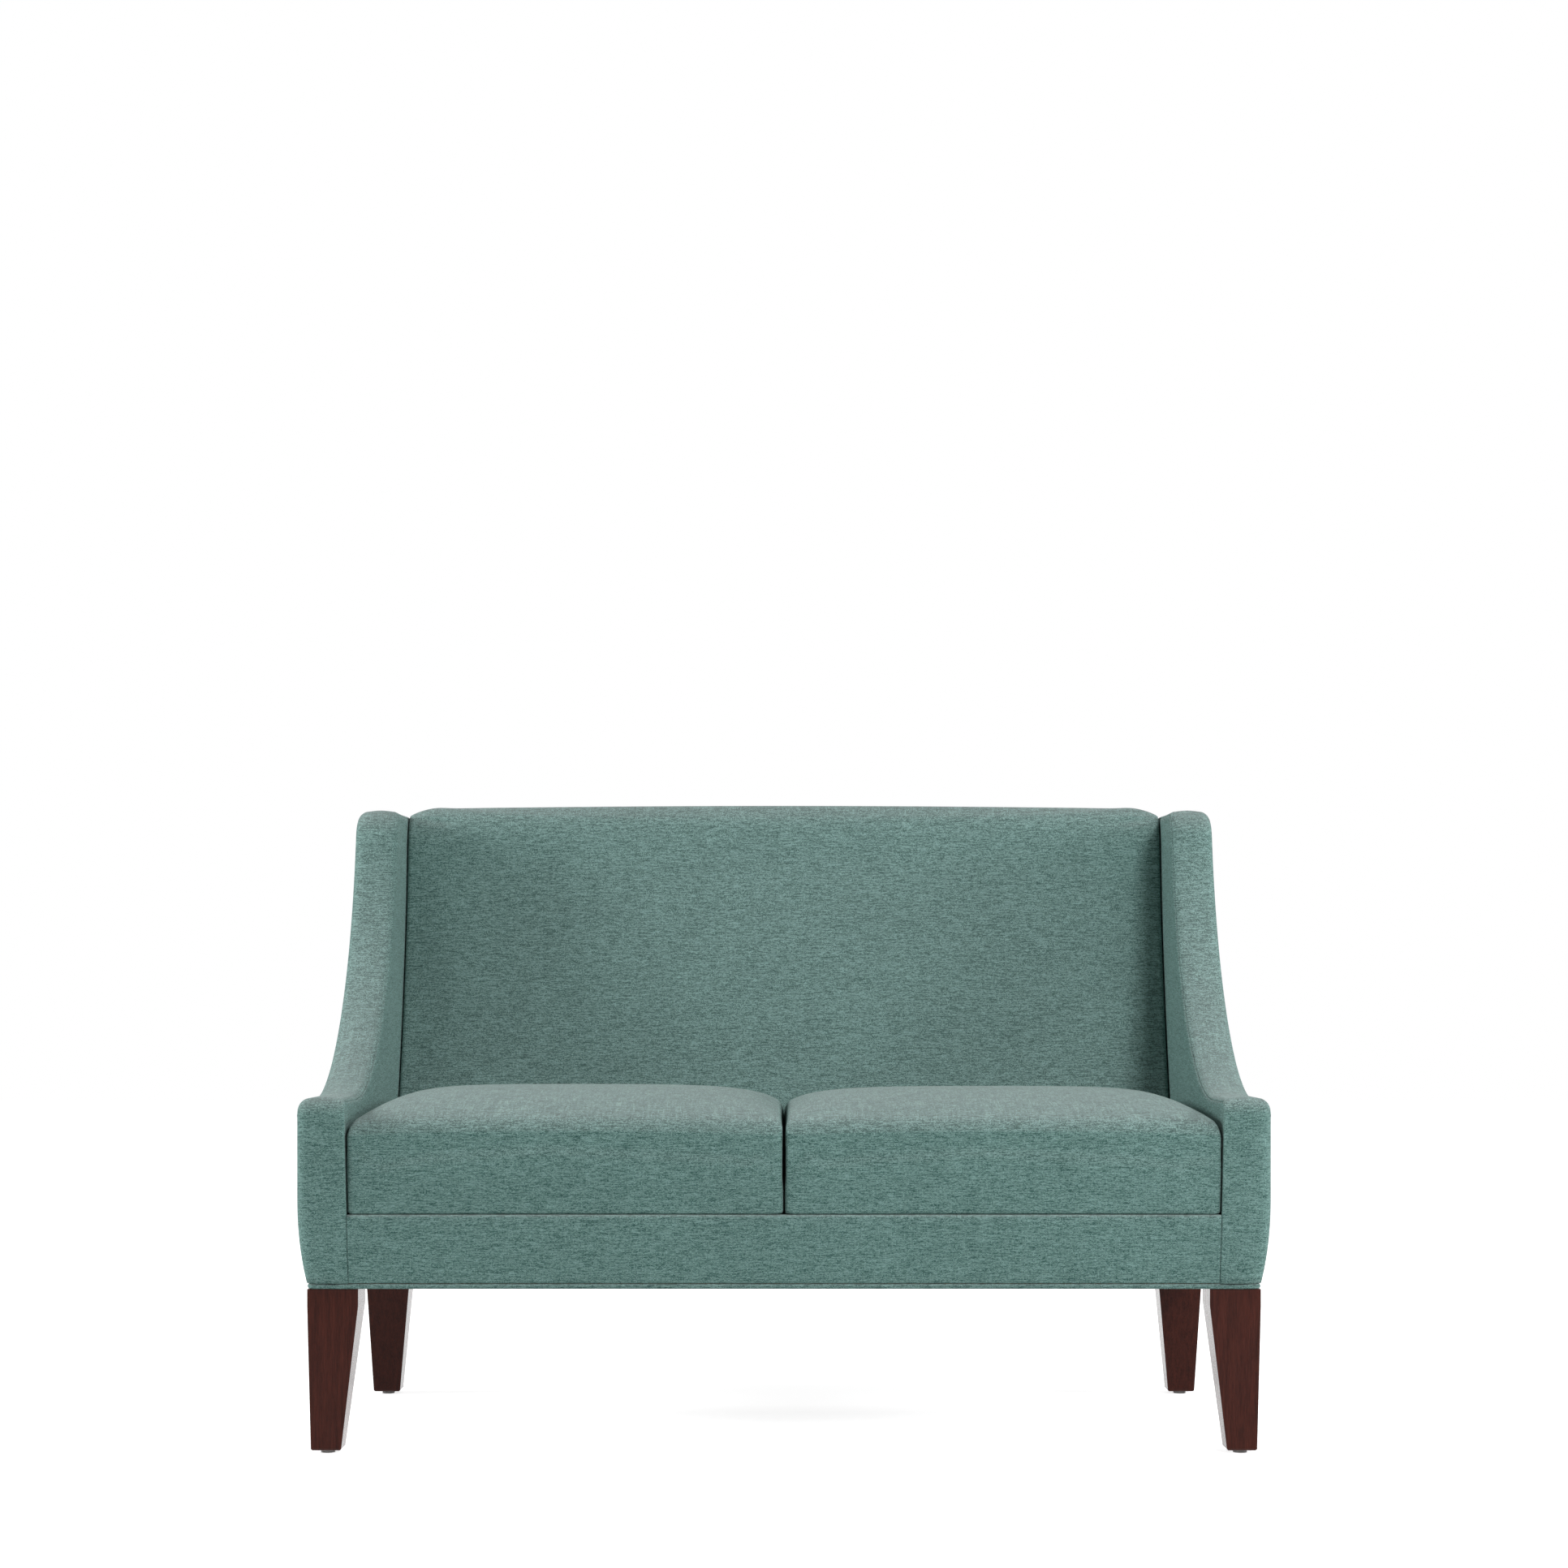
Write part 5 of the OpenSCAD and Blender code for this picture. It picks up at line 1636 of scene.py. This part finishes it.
@dataclass
class BaseTrim:
    """The welt round the bottom of the body, and the dust cover within it."""

    body: Body
    finishes: Finishes
    welt_z: float = 227.0
    welt_h: float = 7.6
    welt_w: float = 7.0
    welt_sides: int = 12
    corner_r: float = 12.0
    corner_least: float = 3.0
    corner_points: int = 9
    step: float = 14.0
    dust_z: float = 223.4
    dust_gap: float = 1.0
    dust_thickness: float = 0.5
    dust_grid: tuple[int, int] = (61, 35)
    dust_cut: tuple[float, float] = (1.3, 0.71)
    sag: float = 4.0
    ripple: float = 0.5
    ripple_pitch: float = 39.0
    ripple_fade: float = 22.0

    def outline(self, inset: float) -> np.ndarray:
        """Returns the body's bottom outline, moved in by inset, as places across and in depth."""
        half = self.body.arm_out - self.body.tuck - inset
        front, rear = inset, float(self.body.outside_y(self.body.cloth_z)) - inset
        r = max(self.corner_r - inset, self.corner_least)
        made: list[tuple[float, float]] = []
        corners = ((half - r, front + r, -90.0), (half - r, rear - r, 0.0),
                   (-half + r, rear - r, 90.0), (-half + r, front + r, 180.0))
        for x, y, start in corners:
            made += [(x + r * math.cos(a), y + r * math.sin(a))
                     for a in np.radians(np.linspace(start, start + 90.0, self.corner_points))]
        line = np.array(made)
        filled = []
        for point, following in zip(line, np.roll(line, -1, axis=0)):
            parts = max(1, round(float(np.linalg.norm(following - point)) / self.step))
            filled += [point + (following - point) * k / parts for k in range(parts)]
        return np.array(filled)

    def build(self) -> None:
        """Builds the welt and the dust cover."""
        line = self.outline(self.welt_w / 2.0)
        ahead = np.roll(line, -1, axis=0) - np.roll(line, 1, axis=0)
        ahead /= np.linalg.norm(ahead, axis=1, keepdims=True)
        out = np.stack([ahead[:, 1], -ahead[:, 0]], axis=1)
        rings = []
        for a in np.radians(np.arange(0, 360, 360 // self.welt_sides)):
            z = self.welt_z + self.welt_h / 2.0 * math.sin(a)
            reach = self.welt_w / 2.0 * math.cos(a)
            rings.append(np.column_stack([line + out * reach, np.full(len(line), z)]))
        shell = Shell()
        shell.add_grid(np.array(rings), round_first=True, round_second=True)
        welt = shell.piece("base_welt_cord")
        refine(welt)
        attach(welt, "frame")
        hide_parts("base_welt")
        self.finishes.cover(welt, Slot.UPHOLSTERY)
        self.build_dust_cover()

    def build_dust_cover(self) -> None:
        """Builds the cambric under the seat, drawn tight and a little slack in its middle."""
        half = self.body.arm_out - self.body.tuck - self.welt_w - self.dust_gap
        rear = float(self.body.outside_y(self.body.cloth_z)) - self.welt_w - self.dust_gap
        front = self.welt_w + self.dust_gap
        columns, rows = self.dust_grid
        u, v = np.meshgrid(np.linspace(-1.0, 1.0, columns), np.linspace(0.0, 1.0, rows),
                           indexing="ij")
        fade = np.exp(-np.minimum(v, 1 - v) * self.ripple_fade)
        ripple = self.ripple * np.sin(u * self.ripple_pitch) * fade
        sag = self.sag * (1.0 - u ** 4) * (1.0 - (2.0 * v - 1.0) ** 4)
        z = self.dust_z - sag + ripple
        shell = Shell()
        shell.add_grid(np.stack([u * half, front + (rear - front) * v, z], axis=-1))
        sheet = CoverSheet(name="dust_cover_cambric", outward=(0.0, 0.0, -1.0),
                           flat=self.dust_cut, rests_on=("front_rail", "rear_rail"),
                           replaced=("dust_cover",), thickness=self.dust_thickness,
                           slot=Slot.LINING)
        sheet.lay(shell, self.finishes)


@dataclass
class CarriedParts:
    """The CAD nodes that keep their shape: each gets its finish, and some a softened edge."""

    finishes: Finishes
    leg_edge: float = 1.3
    glide_edge: float = 0.7
    edge_parts: int = 3
    edge_angle: float = 25.0

    def dress(self, nodes: dict, subparts: Sequence[dict]) -> None:
        """Dresses every node that is still shown.

        Args:
            nodes: the frame's nodes by name.
            subparts: the record's list of nodes and their slots.
        """
        for part in subparts:
            node = nodes[part["node"]]
            if node.hide_render:
                continue
            self.finishes.dress(node, Slot(part["material_slot"]))
            if part["material_slot"] == Slot.LEG_WOOD.value:
                self.soften(node, self.leg_edge)
            elif part["node"] == "glides":
                self.soften(node, self.glide_edge)
            log.info("dressed %s", part["node"])

    def soften(self, node: bpy.types.Object, width: float) -> None:
        """Softens a node's sharp edges over a width in millimetres."""
        soft = node.modifiers.new("soft_edge", "BEVEL")
        soft.width = width * MM
        soft.segments = self.edge_parts
        soft.limit_method = "ANGLE"
        soft.angle_limit = math.radians(self.edge_angle)
        soft.harden_normals = False


@dataclass(frozen=True)
class SoftBox:
    """A soft lamp: its name, its place and its width and height in metres, and its watts."""

    name: str
    place: Row
    size: tuple[float, float]
    power: float

    def hang(self, aim: Row) -> None:
        """Adds the lamp, looking at a point in metres."""
        light = bpy.data.lights.new(self.name, "AREA")
        light.shape = "RECTANGLE"
        light.size, light.size_y = self.size
        light.energy = self.power
        holder = bpy.data.objects.new(self.name, light)
        holder.location = self.place
        way = Vector(aim) - Vector(self.place)
        holder.rotation_euler = way.to_track_quat("-Z", "Y").to_euler()
        bpy.context.scene.collection.objects.link(holder)


@dataclass
class Studio:
    """The pale floor, the soft light and the camera at the photograph's place, in metres."""

    distance: float = 4.46
    eye_z: float = 0.605
    lens: float = 69.35
    sensor: float = 36.0
    shift_y: float = 0.142
    clip: tuple[float, float] = (0.05, 100.0)
    floor_half: float = 15.0
    floor_parts: int = 24
    floor_colour: float = 0.8
    floor_glow: float = 0.82
    glow_run: tuple[float, float] = (1.0, 2.2)
    sky: float = 0.03
    aim: Row = (0.0, 0.1, 0.4)
    lamps: tuple[SoftBox, ...] = (
        SoftBox("key_right", (1.8, -3.6, 2.4), (1.0, 0.9), 103.0),
        SoftBox("side_left", (-3.4, -0.4, 1.6), (1.0, 0.9), 96.0),
        SoftBox("side_right", (3.4, -0.4, 1.6), (1.0, 0.9), 60.0),
        SoftBox("high_right", (2.0, -1.4, 3.3), (1.2, 1.0), 22.0),
        SoftBox("high_left", (-2.0, -1.4, 3.3), (1.2, 1.0), 17.0),
        SoftBox("rear_light", (0.0, 3.4, 2.6), (3.0, 1.6), 45.0))

    def build(self) -> None:
        """Builds the studio."""
        scene = bpy.context.scene
        scene.view_settings.view_transform = "Standard"
        self.build_floor()
        self.build_sky(scene)
        for lamp in self.lamps:
            lamp.hang(self.aim)
        camera = bpy.data.cameras.new("camera")
        camera.lens = self.lens
        camera.sensor_width = self.sensor
        camera.shift_y = self.shift_y
        camera.clip_start, camera.clip_end = self.clip
        holder = bpy.data.objects.new("camera", camera)
        holder.location = (0.0, -self.distance, self.eye_z)
        holder.rotation_euler = (math.pi / 2.0, 0.0, 0.0)
        scene.collection.objects.link(holder)
        scene.camera = holder

    def build_floor(self) -> None:
        """Builds the pale floor, which glows to white for the camera and keeps the shadow."""
        work = bmesh.new()
        bmesh.ops.create_grid(work, x_segments=self.floor_parts, y_segments=self.floor_parts,
                              size=self.floor_half)
        mesh = bpy.data.meshes.new("floor")
        work.to_mesh(mesh)
        work.free()
        floor = bpy.data.objects.new("floor", mesh)
        bpy.context.scene.collection.objects.link(floor)
        material = bpy.data.materials.new("pale_floor")
        shader = empty_tree(material)
        matt = shader.node("BsdfDiffuse")
        shader.set(matt, {"Color": (self.floor_colour,) * 3 + (1.0,)})
        glow = shader.node("Emission")
        away = shader.node("VectorMath", operation="LENGTH")
        shader.feed(away.inputs[0], shader.node("TexCoord").outputs["Object"])
        glowing = shader.ramp(away.outputs["Value"], *self.glow_run, self.floor_glow, 1.0,
                              smooth=True)
        shader.feed(glow.inputs["Strength"], shader.times(shader.in_view(), glowing))
        both = shader.node("AddShader")
        shader.feed(both.inputs[0], matt.outputs[0])
        shader.feed(both.inputs[1], glow.outputs[0])
        shader.feed(shader.node("OutputMaterial").inputs["Surface"], both.outputs[0])
        mesh.materials.append(material)

    def build_sky(self, scene: bpy.types.Scene) -> None:
        """Builds the world: soft light, and white where it is seen.

        Args:
            scene: the scene that gets the world.
        """
        world = bpy.data.worlds.new("studio")
        shader = empty_tree(world)
        back = shader.node("Background")
        strength = shader.blend(shader.in_view(), self.sky, 1.0, "FLOAT")
        shader.set(back, {"Color": (1.0,) * 4, "Strength": strength})
        shader.feed(shader.node("OutputWorld").inputs["Surface"], back.outputs[0])
        scene.world = world


def main() -> None:
    """Loads the frame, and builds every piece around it."""
    logging.basicConfig(level=logging.INFO, format="%(name)s: %(message)s")
    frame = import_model()
    body = Body()
    finishes = Finishes()
    for side in Side:
        Arm(body, side, finishes).build()
    BackPad(body, finishes).build()
    for side in Side:
        SeatCushion(body, side, finishes).build()
    FrontRail(body, finishes).build()
    SeatDeck(finishes).build()
    OutsideBack(body, finishes).build()
    BaseTrim(body, finishes).build()
    CarriedParts(finishes).dress(frame["nodes"], frame["record"]["subparts"])
    Studio().build()


if __name__ == "__main__":
    main()
